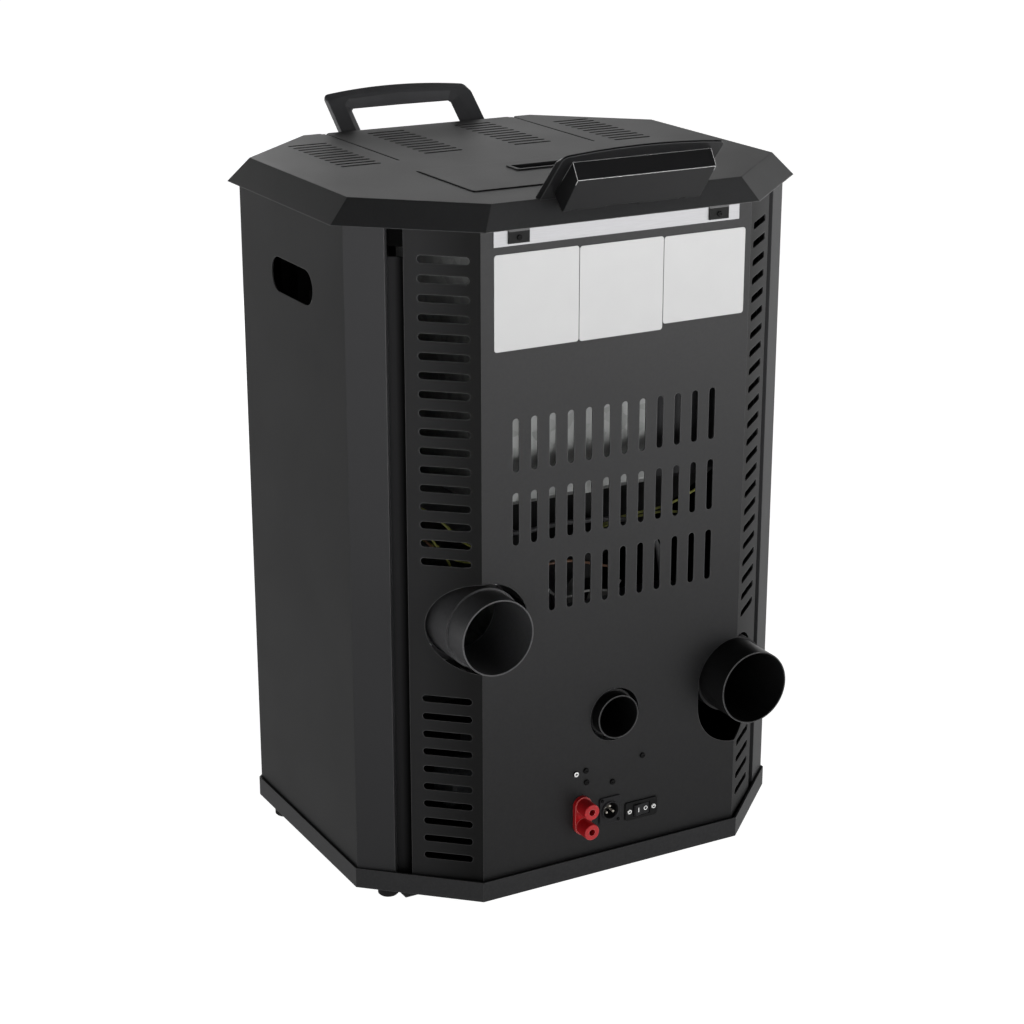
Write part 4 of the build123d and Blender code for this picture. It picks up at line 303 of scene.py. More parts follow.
class Finish:
    """A procedural material on object coordinates, in metres"""

    def __init__(self, name, colour, roughness, metallic=0.0, **sockets):
        self.material = bpy.data.materials.new(name)
        self.material.use_nodes = True
        self.material.diffuse_color = (*colour, 1)
        self.tree = self.material.node_tree
        self.shader = self.tree.nodes["Principled BSDF"]
        self.shader.inputs["Base Color"].default_value = (*colour, 1)
        self.shader.inputs["Roughness"].default_value = roughness
        self.shader.inputs["Metallic"].default_value = metallic
        for socket, value in sockets.items():
            self.shader.inputs[socket.replace("_", " ")].default_value = value
        self.place = self.node("ShaderNodeTexCoord").outputs["Object"]
        self.colour = colour
        self.roughness = roughness
        self.metallic = metallic
        self.normal = None

    def node(self, kind, **values):
        node = self.tree.nodes.new(kind)
        for key, value in values.items():
            setattr(node, key, value)
        return node

    def link(self, source, target):
        self.tree.links.new(source, target)

    def put(self, value, target):
        """Links a socket, or sets a number or a colour."""
        if isinstance(value, bpy.types.NodeSocket):
            self.link(value, target)
        elif isinstance(value, (tuple, list)) and len(value) == 3 and target.type == "RGBA":
            target.default_value = (*value, 1)
        else:
            target.default_value = value

    def math(self, operation, first, second=0.0):
        node = self.node("ShaderNodeMath", operation=operation)
        self.put(first, node.inputs[0])
        self.put(second, node.inputs[1])
        return node.outputs[0]

    def above(self, value, limit):
        """One where the value is greater than the limit, else zero."""
        return self.math("GREATER_THAN", value, limit)

    def below(self, value, limit):
        """One where the value is less than the limit, else zero."""
        return self.math("LESS_THAN", value, limit)

    def both(self, first, second):
        return self.math("MULTIPLY", first, second)

    def axis(self, name):
        node = self.node("ShaderNodeSeparateXYZ")
        self.link(self.place, node.inputs[0])
        return node.outputs[name]

    def aside(self, name):
        """Distance from the middle of the stove, the same on both sides."""
        return self.math("ABSOLUTE", self.axis(name))

    def radius(self, centre):
        """Distance from a point of the rear face, given as X and Z."""
        across = self.math("SUBTRACT", self.axis("X"), centre[0])
        up = self.math("SUBTRACT", self.axis("Z"), centre[1])
        square = self.math("ADD", self.both(across, across), self.both(up, up))
        return self.math("SQRT", square)

    def ring(self, centres, outer, inner):
        """One on the rings round the given points of the rear face, else zero."""
        total = 0.0
        for centre in centres:
            away = self.radius(centre)
            band = self.both(self.below(away, outer), self.above(away, inner))
            total = self.math("ADD", band, total)
        return total

    def noise(self, scale, detail=2.0, rough=0.5, stretch=None):
        node = self.node("ShaderNodeTexNoise")
        place = self.place
        if stretch:
            mapping = self.node("ShaderNodeMapping")
            self.link(place, mapping.inputs["Vector"])
            mapping.inputs["Scale"].default_value = stretch
            place = mapping.outputs[0]
        self.link(place, node.inputs["Vector"])
        node.inputs["Scale"].default_value = scale
        node.inputs["Detail"].default_value = detail
        node.inputs["Roughness"].default_value = rough
        return node.outputs["Fac"]

    def cells(self, scale, output="Distance"):
        node = self.node("ShaderNodeTexVoronoi")
        self.link(self.place, node.inputs["Vector"])
        node.inputs["Scale"].default_value = scale
        return node.outputs[output]

    def spread(self, factor, low, high, to_low=0.0, to_high=1.0):
        """Maps the range from low to high onto another range."""
        node = self.node("ShaderNodeMapRange")
        self.put(factor, node.inputs["Value"])
        limits = {"From Min": low, "From Max": high, "To Min": to_low, "To Max": to_high}
        for name, value in limits.items():
            node.inputs[name].default_value = value
        return node.outputs[0]

    def mix(self, factor, first, second):
        node = self.node("ShaderNodeMix", data_type="RGBA")
        self.put(factor, node.inputs["Factor"])
        colour_a, colour_b = (socket for socket in node.inputs if socket.type == "RGBA")
        self.put(first, colour_a)
        self.put(second, colour_b)
        return next(socket for socket in node.outputs if socket.type == "RGBA")

    def paint(self, factor, colour):
        """Mixes another colour over the present one."""
        self.colour = self.mix(factor, self.colour, colour)
        self.put(self.colour, self.shader.inputs["Base Color"])

    def polish(self, factor, roughness):
        """Blends the roughness towards another value."""
        start = self.roughness
        change = self.both(factor, self.math("SUBTRACT", roughness, start))
        self.roughness = self.math("ADD", change, start)
        self.put(self.roughness, self.shader.inputs["Roughness"])

    def plate(self, factor):
        """Turns the surface to bare metal where the factor is one."""
        self.metallic = self.math("MAXIMUM", factor, self.metallic)
        self.put(self.metallic, self.shader.inputs["Metallic"])

    def shade(self, factor, low, high):
        """Scales the present colour, from low in the factor's dark parts to high."""
        level = self.spread(factor, *NOISE_RANGE, low, high)
        node = self.node("ShaderNodeVectorMath", operation="SCALE")
        self.put(self.colour, node.inputs[0])
        self.link(level, node.inputs["Scale"])
        self.colour = node.outputs[0]
        self.link(self.colour, self.shader.inputs["Base Color"])

    def soften(self, radius):
        """Rounds the look of sharp edges, so that they catch the light."""
        node = self.node("ShaderNodeBevel")
        node.samples = 6
        node.inputs["Radius"].default_value = radius
        self.normal = node.outputs[0]
        self.link(self.normal, self.shader.inputs["Normal"])

    def edges(self, colour, radius=0.001, where=1.0):
        """Paints a highlight on sharp edges, where they would catch the light."""
        rounded = self.node("ShaderNodeBevel")
        rounded.samples = 8
        rounded.inputs["Radius"].default_value = radius
        flat = self.node("ShaderNodeNewGeometry")
        turn = self.node("ShaderNodeVectorMath", operation="DOT_PRODUCT")
        self.link(rounded.outputs[0], turn.inputs[0])
        self.link(flat.outputs["Normal"], turn.inputs[1])
        highlight_and_wear = self.spread(turn.outputs["Value"], HIGHLIGHT_STARTS, HIGHLIGHT_FULL)
        self.paint(self.both(highlight_and_wear, where), colour)

    def bump(self, height, distance, strength):
        node = self.node("ShaderNodeBump")
        node.inputs["Strength"].default_value = strength
        node.inputs["Distance"].default_value = distance
        self.link(height, node.inputs["Height"])
        if self.normal:
            self.link(self.normal, node.inputs["Normal"])
        self.normal = node.outputs[0]
        self.link(self.normal, self.shader.inputs["Normal"])


def dress(finish, *names):
    """Gives a finish to CAD nodes through their object's own slots."""
    for name in names:
        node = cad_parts[name]
        if not node.material_slots:
            node.data.materials.append(finish.material)
        for slot in node.material_slots:
            slot.material = finish.material


def powder_coat(name, colour, grain, roughness=0.5, shine=0.35):
    coat = Finish(name, colour, roughness, Specular_IOR_Level=shine)
    coat.soften(0.0012)
    coat.shade(coat.noise(5.0, detail=3.0), 0.93, 1.06)
    coat.shade(coat.noise(0.35 / grain), 0.90, 1.10)
    coat.polish(coat.noise(14.0), roughness - 0.06)
    coat.bump(coat.noise(1.0 / grain, rough=0.6), distance=0.00010, strength=0.55)
    return coat


def moulded(name, colour, roughness, grain=0.0006):
    plastic = Finish(name, colour, roughness, Specular_IOR_Level=0.09)
    plastic.soften(0.0016)
    plastic.shade(plastic.noise(30.0), 0.94, 1.05)
    plastic.bump(plastic.cells(1.0 / grain), distance=0.00004, strength=0.5)
    return plastic


def bare_metal(name, colour, roughness, stretch=(1, 1, 1), scale=600.0):
    metal = Finish(name, colour, roughness, metallic=1.0)
    grain = metal.noise(scale, 3.0, 0.6, stretch)
    metal.shade(grain, 0.88, 1.06)
    metal.polish(grain, roughness + 0.14)
    metal.bump(grain, distance=0.00003, strength=0.5)
    return metal


def galvanised(name, colour):
    zinc = Finish(name, colour, roughness=0.42, metallic=0.75)
    zinc.shade(zinc.cells(90.0, "Color"), 0.82, 1.08)
    zinc.polish(zinc.cells(90.0), roughness=0.3)
    zinc.bump(zinc.cells(90.0), distance=0.00003, strength=0.4)
    return zinc


def cast(name, colour, roughness):
    iron = Finish(name, colour, roughness, Specular_IOR_Level=0.4)
    iron.shade(iron.noise(18.0, detail=4.0), 0.8, 1.15)
    iron.bump(iron.noise(420.0, 4.0, 0.65), distance=0.0005, strength=0.6)
    return iron


def plain(name, colour, roughness, scale, low, high, **sockets):
    """A smooth finish with a slight unevenness of its colour."""
    finish = Finish(name, colour, roughness, **sockets)
    finish.shade(finish.noise(scale), low, high)
    return finish


# Mesh making

def piece(name, mesh_maker, finish, body):
    mesh = bpy.data.meshes.new(name)
    tool = bmesh.new()
    mesh_maker(tool)
    bmesh.ops.recalc_face_normals(tool, faces=tool.faces)
    tool.to_mesh(mesh)
    tool.free()
    made = bpy.data.objects.new(name, mesh)
    bpy.context.collection.objects.link(made)
    mesh.materials.append(finish.material)
    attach(made, body)
    return made


def slab(tool, outline, at, directions, height):
    """A thin raised plate with a flat outline, slightly smaller at its top."""
    across, up, out = directions
    rings = []
    for level, inset in ((0.0, 1.0), (height * 0.7, 1.0), (height, 0.94)):
        ring = []
        for x, y in outline:
            ring.append(tool.verts.new(at + across * x * inset + up * y * inset + out * level))
        rings.append(ring)
    for lower, upper in zip(rings, rings[1:]):
        for index in range(len(lower)):
            after = (index + 1) % len(lower)
            tool.faces.new((lower[index], lower[after], upper[after], upper[index]))
    tool.faces.new(rings[0][::-1])
    tool.faces.new(rings[-1])


def hoop(tool, outer, inner, at, directions, height, start=0.0, stop=360.0, steps=32):
    """A flat raised ring, or part of one."""
    across, up, out = directions
    full = stop - start >= 360
    count = steps if full else steps + 1
    rows = []
    for index in range(count):
        angle = math.radians(start + (stop - start) * index / steps)
        ray = across * math.cos(angle) + up * math.sin(angle)
        near, far = at + ray * inner, at + ray * outer
        row = (near, far, far + out * height, near + out * height)
        rows.append([tool.verts.new(point) for point in row])
    pairs = list(zip(rows, rows[1:]))
    if full:
        pairs.append((rows[-1], rows[0]))
    for a, b in pairs:
        for index in range(4):
            after = (index + 1) % 4
            tool.faces.new((a[index], b[index], b[after], a[after]))
    if not full:
        tool.faces.new(rows[0])
        tool.faces.new(rows[-1][::-1])


def bar_outline(width, height):
    """A rectangle with rounded corners."""
    points = []
    radius = min(width, height) * 0.3
    for sx, sy, first in ((1, 1, 0), (-1, 1, 90), (-1, -1, 180), (1, -1, 270)):
        for step in range(4):
            angle = math.radians(first + 30 * step)
            x = sx * (width / 2 - radius) + radius * math.cos(angle)
            y = sy * (height / 2 - radius) + radius * math.sin(angle)
            points.append((x, y))
    return points


def face_of(node):
    """Middle of a CAD node's outermost face, seen along the control unit's outward direction."""
    points = [vertex.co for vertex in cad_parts[node].data.vertices]
    reach = max(point.dot(UNIT_OUT) for point in points)
    rights = [point.dot(UNIT_ACROSS) for point in points]
    ups = [point.dot(UNIT_UP) for point in points]
    across = (min(rights) + max(rights)) / 2
    along = (min(ups) + max(ups)) / 2
    return UNIT_ACROSS * across + UNIT_UP * along + UNIT_OUT * reach


# Operators

class STOVE_OT_cabinet_finish(bpy.types.Operator):
    """Powder coats the cabinet's panels, hood, lid and ash drawer"""

    bl_idname = "stove.cabinet_finish"
    bl_label = "Cabinet Finish"

    def execute(self, context):
        colours = context.scene.stove_colours
        grain = context.scene.stove_details.grain
        coat = tuple(colours.coat)

        # The side panels are a darker copy of the coat as painted shade, their rear flanges a
        # lighter one as painted light, and sharp edges get a painted highlight
        sides = powder_coat("side_powder_coat", tinted(coat, SIDE_SHADE_SHARE), grain, shine=0.06)
        sides.paint(sides.above(sides.axis("Y"), FLANGE_FOLD), tinted(coat, FLANGE_LIGHT_SHARE))
        sides.edges(COAT_HIGHLIGHT_AND_WEAR)
        dress(sides, "side_panel_left", "side_panel_right")

        panels = powder_coat("charcoal_powder_coat", coat, grain, roughness=0.46, shine=0.13)
        across = panels.aside("X")
        wing = panels.above(across, REAR_FOLD)
        # The wings are painted in shade, fading out from the folds, with a painted shadow line
        # along each fold
        panels.paint(wing, WING_PAINTED_SHADE)
        panels.paint(panels.spread(across, *WING_SHADE), tinted(coat, WING_SHADE_SHARE))
        panels.paint(panels.both(wing, panels.below(across, REAR_FOLD + FOLD_SHADOW_WIDTH)), FOLD_PAINTED_SHADOW)
        panels.polish(wing, roughness=0.64)
        # Sharp edges get a painted highlight
        panels.edges(COAT_HIGHLIGHT_AND_WEAR)
        dress(panels, "rear_panel", "front_panel", "top_plate", "ash_drawer")

        # The tray is a lighter copy of the coat as painted light, with a painted highlight on
        # sharp edges
        tray = powder_coat("tray_powder_coat", tinted(coat, TRAY_LIGHT_SHARE), grain,
                           roughness=0.55, shine=0.08)
        tray.edges(COAT_HIGHLIGHT_AND_WEAR)
        dress(tray, "base_tray")

        # The corner channel is painted in shade, with painted light towards its flange side below
        # its top
        posts = powder_coat("dark_channel_coat", CHANNEL_PAINTED_SHADE, grain, roughness=0.6, shine=0.02)
        lit = posts.spread(posts.aside("X"), *CHANNEL_SHADE)
        low = posts.below(posts.axis("Z"), CHANNEL_TOP)
        posts.paint(posts.both(lit, low), tinted(coat, CHANNEL_LIGHT_SHARE))
        dress(posts, "corner_posts")

        hood = powder_coat("hood_powder_coat", tuple(colours.hood_coat), grain, roughness=0.47)
        # Sharp edges get a painted highlight, and the tabs under the hood are painted in shade
        hood.edges(HOOD_EDGE_HIGHLIGHT)
        tabs = hood.below(hood.axis("Z"), TAB_TOP)
        hood.paint(tabs, TAB_PAINTED_SHADE)
        hood.polish(tabs, roughness=0.9)
        dress(hood, "hood", "hopper_lid")
        return {"FINISHED"}


class STOVE_OT_moulding_finish(bpy.types.Operator):
    """Finishes the black mouldings, the control panel and the buttons"""

    bl_idname = "stove.moulding_finish"
    bl_label = "Moulding Finish"

    def execute(self, context):
        colour = tuple(context.scene.stove_colours.moulding)
        arch = moulded("black_moulding", colour, roughness=0.32)
        # Sharp edges get a painted highlight, on the control unit only above its ridge
        arch.edges(ARCH_EDGE_HIGHLIGHT, radius=0.0012)
        dress(arch, "rear_arch")

        unit = moulded("control_moulding", colour, roughness=0.32)
        unit.edges(UNIT_EDGE_HIGHLIGHT, radius=0.0012, where=unit.above(unit.axis("Z"), UNIT_RIDGE))
        dress(unit, "control_housing")

        # The front handle is a lighter copy of the moulding as painted light, with a painted
        # highlight on sharp edges
        handle = moulded("handle_moulding", tinted(colour, HANDLE_LIGHT_SHARE), roughness=0.36)
        handle.edges(HANDLE_EDGE_HIGHLIGHT, radius=0.0012)
        dress(handle, "front_handle")

        small = moulded("black_fitting", tinted(colour, FITTING_SHARE), 0.45, grain=0.0004)
        dress(small, "switch_housing", "igniter", "pressure_switch")

        fascia = Finish("gloss_fascia", (0.012, 0.012, 0.013), roughness=0.16,
                        Specular_IOR_Level=0.5, Coat_Weight=0.3)
        fascia.bump(fascia.noise(60.0), distance=0.00002, strength=0.2)
        dress(fascia, "control_fascia")

        dress(plain("display_window", (0.006, 0.010, 0.008), roughness=0.06, scale=40.0,
                    low=0.9, high=1.1, Coat_Weight=0.6), "display_window")
        dress(moulded("button_cap", (0.16, 0.165, 0.17), roughness=0.5, grain=0.0003),
              "button_down", "button_up", "button_menu", "button_power")
        dress(moulded("rocker_cap", FITTING_BLACK, roughness=0.3, grain=0.0003),
              "switch_rocker")
        dress(moulded("foot_rubber", (0.012, 0.012, 0.012), roughness=0.8, grain=0.0008),
              "rubber_feet")
        return {"FINISHED"}


class STOVE_OT_trim_finish(bpy.types.Operator):
    """Finishes the strip, label plates, screws, pipes and rear connectors"""

    bl_idname = "stove.trim_finish"
    bl_label = "Trim Finish"

    def execute(self, context):
        colours = context.scene.stove_colours
        details = context.scene.stove_details
        dress(bare_metal("strip_metal", tuple(colours.strip), roughness=0.5,
                         stretch=(1, 1, 40), scale=60.0), "silver_strip")

        label = plain("label_foil", tuple(colours.label), roughness=0.5, scale=25.0,
                      low=0.98, high=1.01, Specular_IOR_Level=0.2)
        label.bump(label.noise(900.0), distance=0.00003, strength=0.3)
        dress(label, "label_plates")

        screws = Finish("screw_black", SCREW_BLACK, roughness=0.25, Specular_IOR_Level=0.06)
        screws.soften(0.0014)
        screws.paint(screws.ring(WHITE_SCREWS, *SCREW_RING), SCREW_WHITE)
        dress(screws, "panel_screws")

        for node, tone, outer in PIPES:
            low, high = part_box(node)
            colour = (tone, tone, tone * 1.04)
            pipe = powder_coat(node + "_coat", colour, details.pipe_grain,
                               roughness=0.42, shine=0.2)
            away = pipe.radius(((low[0] + high[0]) / 2, (low[2] + high[2]) / 2))
            rim = pipe.above(pipe.axis("Y"), high[1] - details.rim_width)
            skin = pipe.above(away, outer - PIPE_SKIN)
            pipe.paint(pipe.both(rim, skin), COAT_HIGHLIGHT_AND_WEAR)
            if node == "hot_air_pipe":
                face = pipe.above(pipe.axis("Y"), low[1] + EAR_DEPTH)
                ears = pipe.both(face, pipe.above(away, EAR_RADIUS))
                pipe.paint(ears, BARE_EAR)
                pipe.plate(ears)
            dress(pipe, node)

        inlet = moulded("inlet_black", FITTING_BLACK, roughness=0.4, grain=0.0004)
        pins = inlet.below(inlet.radius(INLET_MIDDLE), INLET_BORE)
        inlet.paint(inlet.both(pins, 0.9), PIN_NICKEL)
        dress(inlet, "power_inlet")

        red = Finish("socket_red", tuple(colours.socket), roughness=0.35,
                     Specular_IOR_Level=0.3)
        red.soften(0.0008)
        red.shade(red.noise(120.0), 0.9, 1.08)
        red.bump(red.noise(700.0), distance=0.00004, strength=0.4)
        # Sharp edges get a painted highlight
        red.edges(SOCKET_EDGE_HIGHLIGHT, radius=0.0006)
        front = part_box("red_socket")[1][1]
        deep = red.below(red.axis("Y"), front - SOCKET_DEPTH)
        bores = red.ring(SOCKET_HOLES, SOCKET_BORE, -1.0)
        red.paint(red.both(bores, deep), SOCKET_BRASS)
        dress(red, "red_socket")

        dress(bare_metal("hinge_steel", (0.45, 0.45, 0.46), roughness=0.35),
              "lid_hinge", "glass_clips")
        return {"FINISHED"}


class STOVE_OT_fire_finish(bpy.types.Operator):
    """Finishes the door, the firebox and everything near the fire"""

    bl_idname = "stove.fire_finish"
    bl_label = "Fire Finish"

    def execute(self, context):
        dress(cast("cast_door_iron", (0.028, 0.028, 0.029), roughness=0.62),
              "door_frame", "door_hinges")
        dress(cast("cast_pot_iron", (0.040, 0.038, 0.036), roughness=0.7), "burn_pot")

        paint = Finish("heat_paint", (0.022, 0.022, 0.022), roughness=0.75)
        paint.shade(paint.noise(9.0, detail=4.0), 0.8, 1.2)
        paint.bump(paint.noise(700.0, detail=3.0), distance=0.00015, strength=0.5)
        dress(paint, "firebox")

        dress(plain("ceramic_glass", (0.80, 0.74, 0.66), roughness=0.03, scale=8.0,
                    low=0.97, high=1.02, Transmission_Weight=1.0, IOR=1.48), "door_glass")

        rope = Finish("glass_fibre_rope", (0.50, 0.48, 0.43), roughness=0.9)
        weave = rope.noise(520.0, stretch=(1.0, 0.6, 1.0))
        rope.shade(weave, 0.6, 1.15)
        rope.bump(weave, distance=0.0012, strength=0.9)
        dress(rope, "door_seal")

        brick = tuple(context.scene.stove_colours.brick)
        board = Finish("fire_board", brick, roughness=0.9)
        board.shade(board.cells(260.0, "Color"), 0.7, 1.15)
        board.bump(board.cells(260.0), distance=0.0004, strength=0.7)
        dress(board, "back_liner", "baffle_plate")

        dress(bare_metal("handle_steel", (0.55, 0.55, 0.56), roughness=0.25,
                         stretch=(1, 1, 0.05), scale=900.0), "door_handle")
        return {"FINISHED"}


class STOVE_OT_inner_finish(bpy.types.Operator):
    """Finishes the hopper, the pellet feed, the fans and the electrics"""

    bl_idname = "stove.inner_finish"
    bl_label = "Inner Finish"

    def execute(self, context):
        zinc = tuple(context.scene.stove_colours.zinc)
        dress(galvanised("galvanised_sheet", zinc), "hopper_grille", "auger_tube",
              "pellet_chute", "air_plenum", "smoke_collector")

        hopper = galvanised("hopper_sheet", zinc)
        # The hopper is painted in shade towards one side and below its seam
        hopper.paint(hopper.spread(hopper.axis("X"), *HOPPER_SHADE), HOPPER_SIDE_PAINTED_SHADE)
        hopper.paint(hopper.below(hopper.axis("Z"), HOPPER_SEAM), HOPPER_FOOT_PAINTED_SHADE)
        dress(hopper, "hopper")

        dress(bare_metal("auger_steel", (0.42, 0.41, 0.40), roughness=0.35), "auger_screw")
        grain = context.scene.stove_details.pipe_grain
        dress(powder_coat("motor_paint", (0.10, 0.105, 0.11), grain, roughness=0.45),
              "auger_motor", "extractor_motor", "fan_motor", "extractor_housing", "fan_housing")
        dress(bare_metal("wheel_aluminium", (0.72, 0.73, 0.74), roughness=0.36),
              "extractor_impeller", "fan_wheel")

        board = Finish("board_lacquer", (0.015, 0.10, 0.04), roughness=0.35, Coat_Weight=0.3)
        tracks = board.noise(420.0, detail=0.0, stretch=(1.0, 1.0, 0.2))
        board.shade(tracks, 0.8, 1.3)
        parts_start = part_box("control_board")[1][0] - BOARD_FACE
        board.paint(board.below(board.axis("X"), parts_start), (0.03, 0.03, 0.035))
        dress(board, "control_board")

        dress(plain("small_board_lacquer", (0.012, 0.09, 0.04), roughness=0.4, scale=500.0,
                    low=0.8, high=1.2, Coat_Weight=0.2), "display_board")
        sleeve = Finish("loom_sleeve", (0.05, 0.05, 0.052), roughness=0.5)
        sleeve.bump(sleeve.noise(900.0), distance=0.0002, strength=0.5)
        dress(sleeve, "wiring_loom")
        return {"FINISHED"}


class STOVE_OT_rocker_marks(bpy.types.Operator):
    """Prints the on and off marks on the rocker"""

    bl_idname = "stove.rocker_marks"
    bl_label = "Rocker Marks"

    def execute(self, context):
        details = context.scene.stove_details
        size = details.rocker_mark
        height = details.mark_height
        ink = plain("mark_white", (0.75, 0.75, 0.74), roughness=0.5, scale=400.0,
                    low=0.95, high=1.02)
        low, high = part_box("switch_rocker")
        middle = (low[2] + high[2]) / 2
        ridge = (low[0] + high[0]) / 2
        points = [vertex.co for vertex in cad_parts["switch_rocker"].data.vertices]
        crest = max(point.y for point in points if abs(point.x - ridge) < RIDGE_REACH)

        def spot(offset, rise):
            """Place and directions on the sloping face, at an offset from the ridge."""
            slope = math.atan2(rise, ROCKER_HALF)
            at = Vector((ridge + offset, crest + offset * math.tan(slope), middle))
            along = Vector((math.cos(slope), math.sin(slope), 0))
            out = Vector((-math.sin(slope), math.cos(slope), 0))
            return at, (along, Vector((0, 0, 1)), out)

        def on_mark(tool):
            slab(tool, bar_outline(size * 0.2, size), *spot(ON_PLACE, ON_RISE), height)

        def off_mark(tool):
            hoop(tool, size * 0.45, size * 0.3, *spot(OFF_PLACE, OFF_RISE), height)

        piece("rocker_on_mark", on_mark, ink, "switch_rocker")
        piece("rocker_off_mark", off_mark, ink, "switch_rocker")
        return {"FINISHED"}


class STOVE_OT_button_marks(bpy.types.Operator):
    """Prints a plain symbol on each control button and ghost segments on the display"""

    bl_idname = "stove.button_marks"
    bl_label = "Button Marks"

    def execute(self, context):
        details = context.scene.stove_details
        size = details.button_mark
        half = size / 2
        height = details.mark_height
        facing = (UNIT_ACROSS, UNIT_UP, UNIT_OUT)
        ink = plain("symbol_white", (0.70, 0.71, 0.72), roughness=0.5, scale=400.0,
                    low=0.95, high=1.02)

        def up_arrow(tool, at):
            corners = [(-half, -half * 0.7), (half, -half * 0.7), (0, half * 0.9)]
            slab(tool, corners, at, facing, height)

        def down_arrow(tool, at):
            corners = [(half, half * 0.7), (-half, half * 0.7), (0, -half * 0.9)]
            slab(tool, corners, at, facing, height)

        def menu_lines(tool, at):
            line = bar_outline(size, size * 0.14)
            for step in (-1, 0, 1):
                slab(tool, line, at + UNIT_UP * step * size * 0.32, facing, height)

        def power_sign(tool, at):
            hoop(tool, half, half * 0.78, at, facing, height, start=120, stop=420)
            stroke = bar_outline(size * 0.12, size * 0.5)
            slab(tool, stroke, at + UNIT_UP * half * 0.7, facing, height)

        symbols = (("button_up", up_arrow), ("button_down", down_arrow),
                   ("button_menu", menu_lines), ("button_power", power_sign))
        for node, draw in symbols:
            at = face_of(node)
            piece(node + "_symbol", lambda tool: draw(tool, at), ink, node)

        def segments(tool):
            lying = bar_outline(DIGIT_WIDTH * 0.72, SEGMENT)
            standing = bar_outline(SEGMENT, DIGIT_HEIGHT * 0.40)
            centre = face_of("display_window")
            for place in (-1, 0, 1):
                at = centre + UNIT_ACROSS * place * DIGIT_STEP
                for level in (-1, 0, 1):
                    up = UNIT_UP * level * DIGIT_HEIGHT / 2
                    slab(tool, lying, at + up, facing, height * 0.5)
                for side in (-1, 1):
                    for level in (-1, 1):
                        across = UNIT_ACROSS * side * DIGIT_WIDTH / 2
                        up = UNIT_UP * level * DIGIT_HEIGHT / 4
                        slab(tool, standing, at + across + up, facing, height * 0.5)

        ghost = plain("ghost_segment", (0.016, 0.026, 0.020), roughness=0.25, scale=200.0,
                      low=0.95, high=1.05)
        piece("display_segments", segments, ghost, CABINET)
        return {"FINISHED"}


class STOVE_OT_inner_wires(bpy.types.Operator):
    """Lays the loose wires that show behind the rear slots"""

    bl_idname = "stove.inner_wires"
    bl_label = "Inner Wires"

    def execute(self, context):
        earth = tuple(context.scene.stove_colours.earth_wire)
        sleeves = {"brown_wire": BROWN_SLEEVE, "grey_wire": GREY_SLEEVE}
        for name, points in WIRES.items():
            sleeve = plain(name + "_sleeve", sleeves.get(name, earth), roughness=0.42,
                           scale=160.0, low=0.9, high=1.08)
            line = bpy.data.curves.new(name, "CURVE")
            line.dimensions = "3D"
            line.bevel_depth = context.scene.stove_details.wire_radius
            line.bevel_resolution = 3
            line.resolution_u = 6
            line.use_fill_caps = True
            spline = line.splines.new("NURBS")
            spline.points.add(len(points) - 1)
            for point, place in zip(spline.points, points):
                point.co = (*place, 1)
            spline.order_u = 3
            spline.use_endpoint_u = True
            made = bpy.data.objects.new(name, line)
            bpy.context.collection.objects.link(made)
            line.materials.append(sleeve.material)
            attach(made, CABINET)
        return {"FINISHED"}


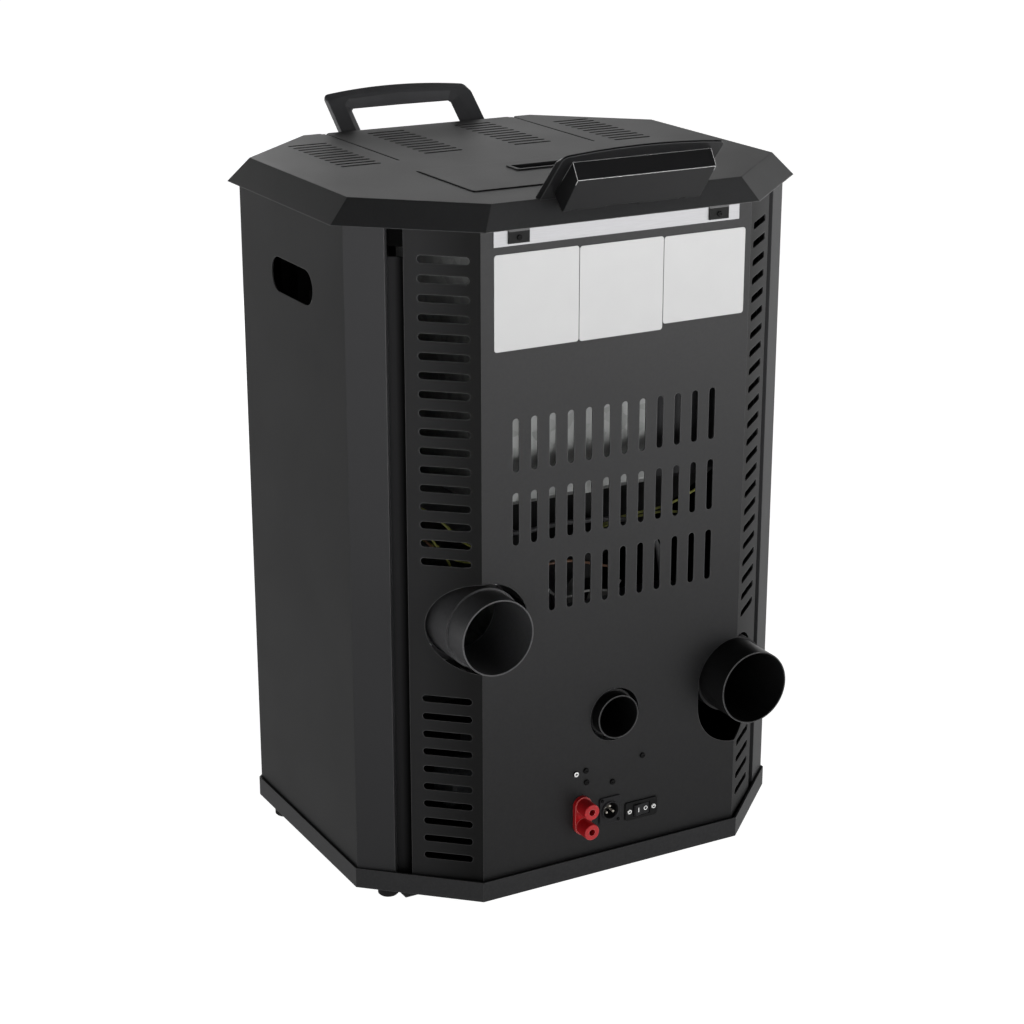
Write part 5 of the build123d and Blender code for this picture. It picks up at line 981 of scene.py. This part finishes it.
class STOVE_OT_studio(bpy.types.Operator):
    """Sets the floor, the surroundings, the softboxes and the camera"""

    bl_idname = "stove.studio"
    bl_label = "Studio"

    def execute(self, context):
        studio = context.scene.stove_studio
        self.make_floor(studio)
        self.make_surroundings(context, studio)
        for name, power, size, place, target in SOFTBOXES:
            light = bpy.data.lights.new(name, "AREA")
            light.energy = getattr(studio, power)
            light.shape = "RECTANGLE"
            light.size, light.size_y = size
            lamp = bpy.data.objects.new(name, light)
            lamp.location = place
            aim = Vector(target) - Vector(place)
            lamp.rotation_euler = aim.to_track_quat("-Z", "Y").to_euler()
            bpy.context.collection.objects.link(lamp)

        camera = bpy.data.cameras.new("photo_camera")
        camera.lens = studio.lens
        camera.sensor_width = SENSOR
        camera.sensor_height = SENSOR
        camera.clip_end = FAR_CLIP
        eye = bpy.data.objects.new("photo_camera", camera)
        eye.location = EYE
        eye.rotation_euler = (math.radians(EYE_TILT), 0, math.radians(EYE_TURN))
        bpy.context.collection.objects.link(eye)
        context.scene.camera = eye
        context.scene.view_settings.view_transform = "Standard"
        return {"FINISHED"}

    def make_floor(self, studio):
        """A floor that glows more at the rear, and not at all beneath the stove."""
        half = studio.floor_size / 2
        corners = [(-half, -half, 0), (half, -half, 0), (half, half, 0), (-half, half, 0)]
        mesh = bpy.data.meshes.new("studio_floor")
        mesh.from_pydata(corners, [], [(0, 1, 2, 3)])
        floor = bpy.data.objects.new("studio_floor", mesh)
        bpy.context.collection.objects.link(floor)
        pale = Finish("studio_floor", FLOOR_GREY, roughness=0.9,
                      Specular_IOR_Level=0.0, Emission_Color=(1, 1, 1, 1))
        skew = pale.both(pale.axis("X"), GLOW_SKEW)
        reach = pale.math("SUBTRACT", pale.axis("Y"), skew)
        glow = pale.spread(reach, *GLOW_REACH, studio.floor_glow, studio.far_glow)
        beside = pale.above(pale.aside("X"), SHADED_FLOOR[0])
        beyond = pale.above(pale.aside("Y"), SHADED_FLOOR[1])
        open_floor = pale.math("MAXIMUM", beside, beyond)
        pale.put(pale.both(glow, open_floor), pale.shader.inputs["Emission Strength"])
        mesh.materials.append(pale.material)

    def make_surroundings(self, context, studio):
        """White at the horizon, grey above and almost black at the ceiling."""
        world = bpy.data.worlds.new("studio_sky")
        world.use_nodes = True
        tree = world.node_tree
        sky = tree.nodes["Background"]
        sky.inputs["Color"].default_value = (1, 1, 1, 1)
        place = tree.nodes.new("ShaderNodeTexCoord")
        height = tree.nodes.new("ShaderNodeSeparateXYZ")
        tree.links.new(place.outputs["Generated"], height.inputs[0])

        def fade(heights, low, high):
            node = tree.nodes.new("ShaderNodeMapRange")
            node.interpolation_type = "SMOOTHSTEP"
            tree.links.new(height.outputs["Z"], node.inputs["Value"])
            node.inputs["From Min"].default_value, node.inputs["From Max"].default_value = heights
            node.inputs["To Min"].default_value = low
            node.inputs["To Max"].default_value = high
            return node.outputs[0]

        total = tree.nodes.new("ShaderNodeMath")
        total.operation = "ADD"
        tree.links.new(fade(HORIZON_FADE, studio.horizon - studio.sky, 0.0), total.inputs[0])
        tree.links.new(fade(CEILING_FADE, studio.sky, studio.zenith), total.inputs[1])
        tree.links.new(total.outputs[0], sky.inputs["Strength"])
        context.scene.world = world


STEPS = (
    STOVE_OT_studio,
    STOVE_OT_cabinet_finish,
    STOVE_OT_moulding_finish,
    STOVE_OT_trim_finish,
    STOVE_OT_fire_finish,
    STOVE_OT_inner_finish,
    STOVE_OT_rocker_marks,
    STOVE_OT_button_marks,
    STOVE_OT_inner_wires,
)


class STOVE_PT_panel(bpy.types.Panel):
    """Lists the stove's settings and steps"""

    bl_idname = "STOVE_PT_panel"
    bl_label = "Pellet Stove"
    bl_space_type = "VIEW_3D"
    bl_region_type = "UI"
    bl_category = "Stove"

    def draw(self, context):
        layout = self.layout
        scene = context.scene
        for group in (scene.stove_colours, scene.stove_details, scene.stove_studio):
            box = layout.box()
            for name in group.__annotations__:
                box.prop(group, name)
        for step in STEPS:
            layout.operator(step.bl_idname)


CLASSES = (StoveColours, StoveDetails, StoveStudio, *STEPS, STOVE_PT_panel)


def register():
    for item in CLASSES:
        bpy.utils.register_class(item)
    bpy.types.Scene.stove_colours = PointerProperty(type=StoveColours)
    bpy.types.Scene.stove_details = PointerProperty(type=StoveDetails)
    bpy.types.Scene.stove_studio = PointerProperty(type=StoveStudio)


def unregister():
    del bpy.types.Scene.stove_studio
    del bpy.types.Scene.stove_details
    del bpy.types.Scene.stove_colours
    for item in reversed(CLASSES):
        bpy.utils.unregister_class(item)


def main():
    register()
    bpy.ops.stove.studio()
    bpy.ops.stove.cabinet_finish()
    bpy.ops.stove.moulding_finish()
    bpy.ops.stove.trim_finish()
    bpy.ops.stove.fire_finish()
    bpy.ops.stove.inner_finish()
    bpy.ops.stove.rocker_marks()
    bpy.ops.stove.button_marks()
    bpy.ops.stove.inner_wires()


if __name__ == "__main__":
    main()
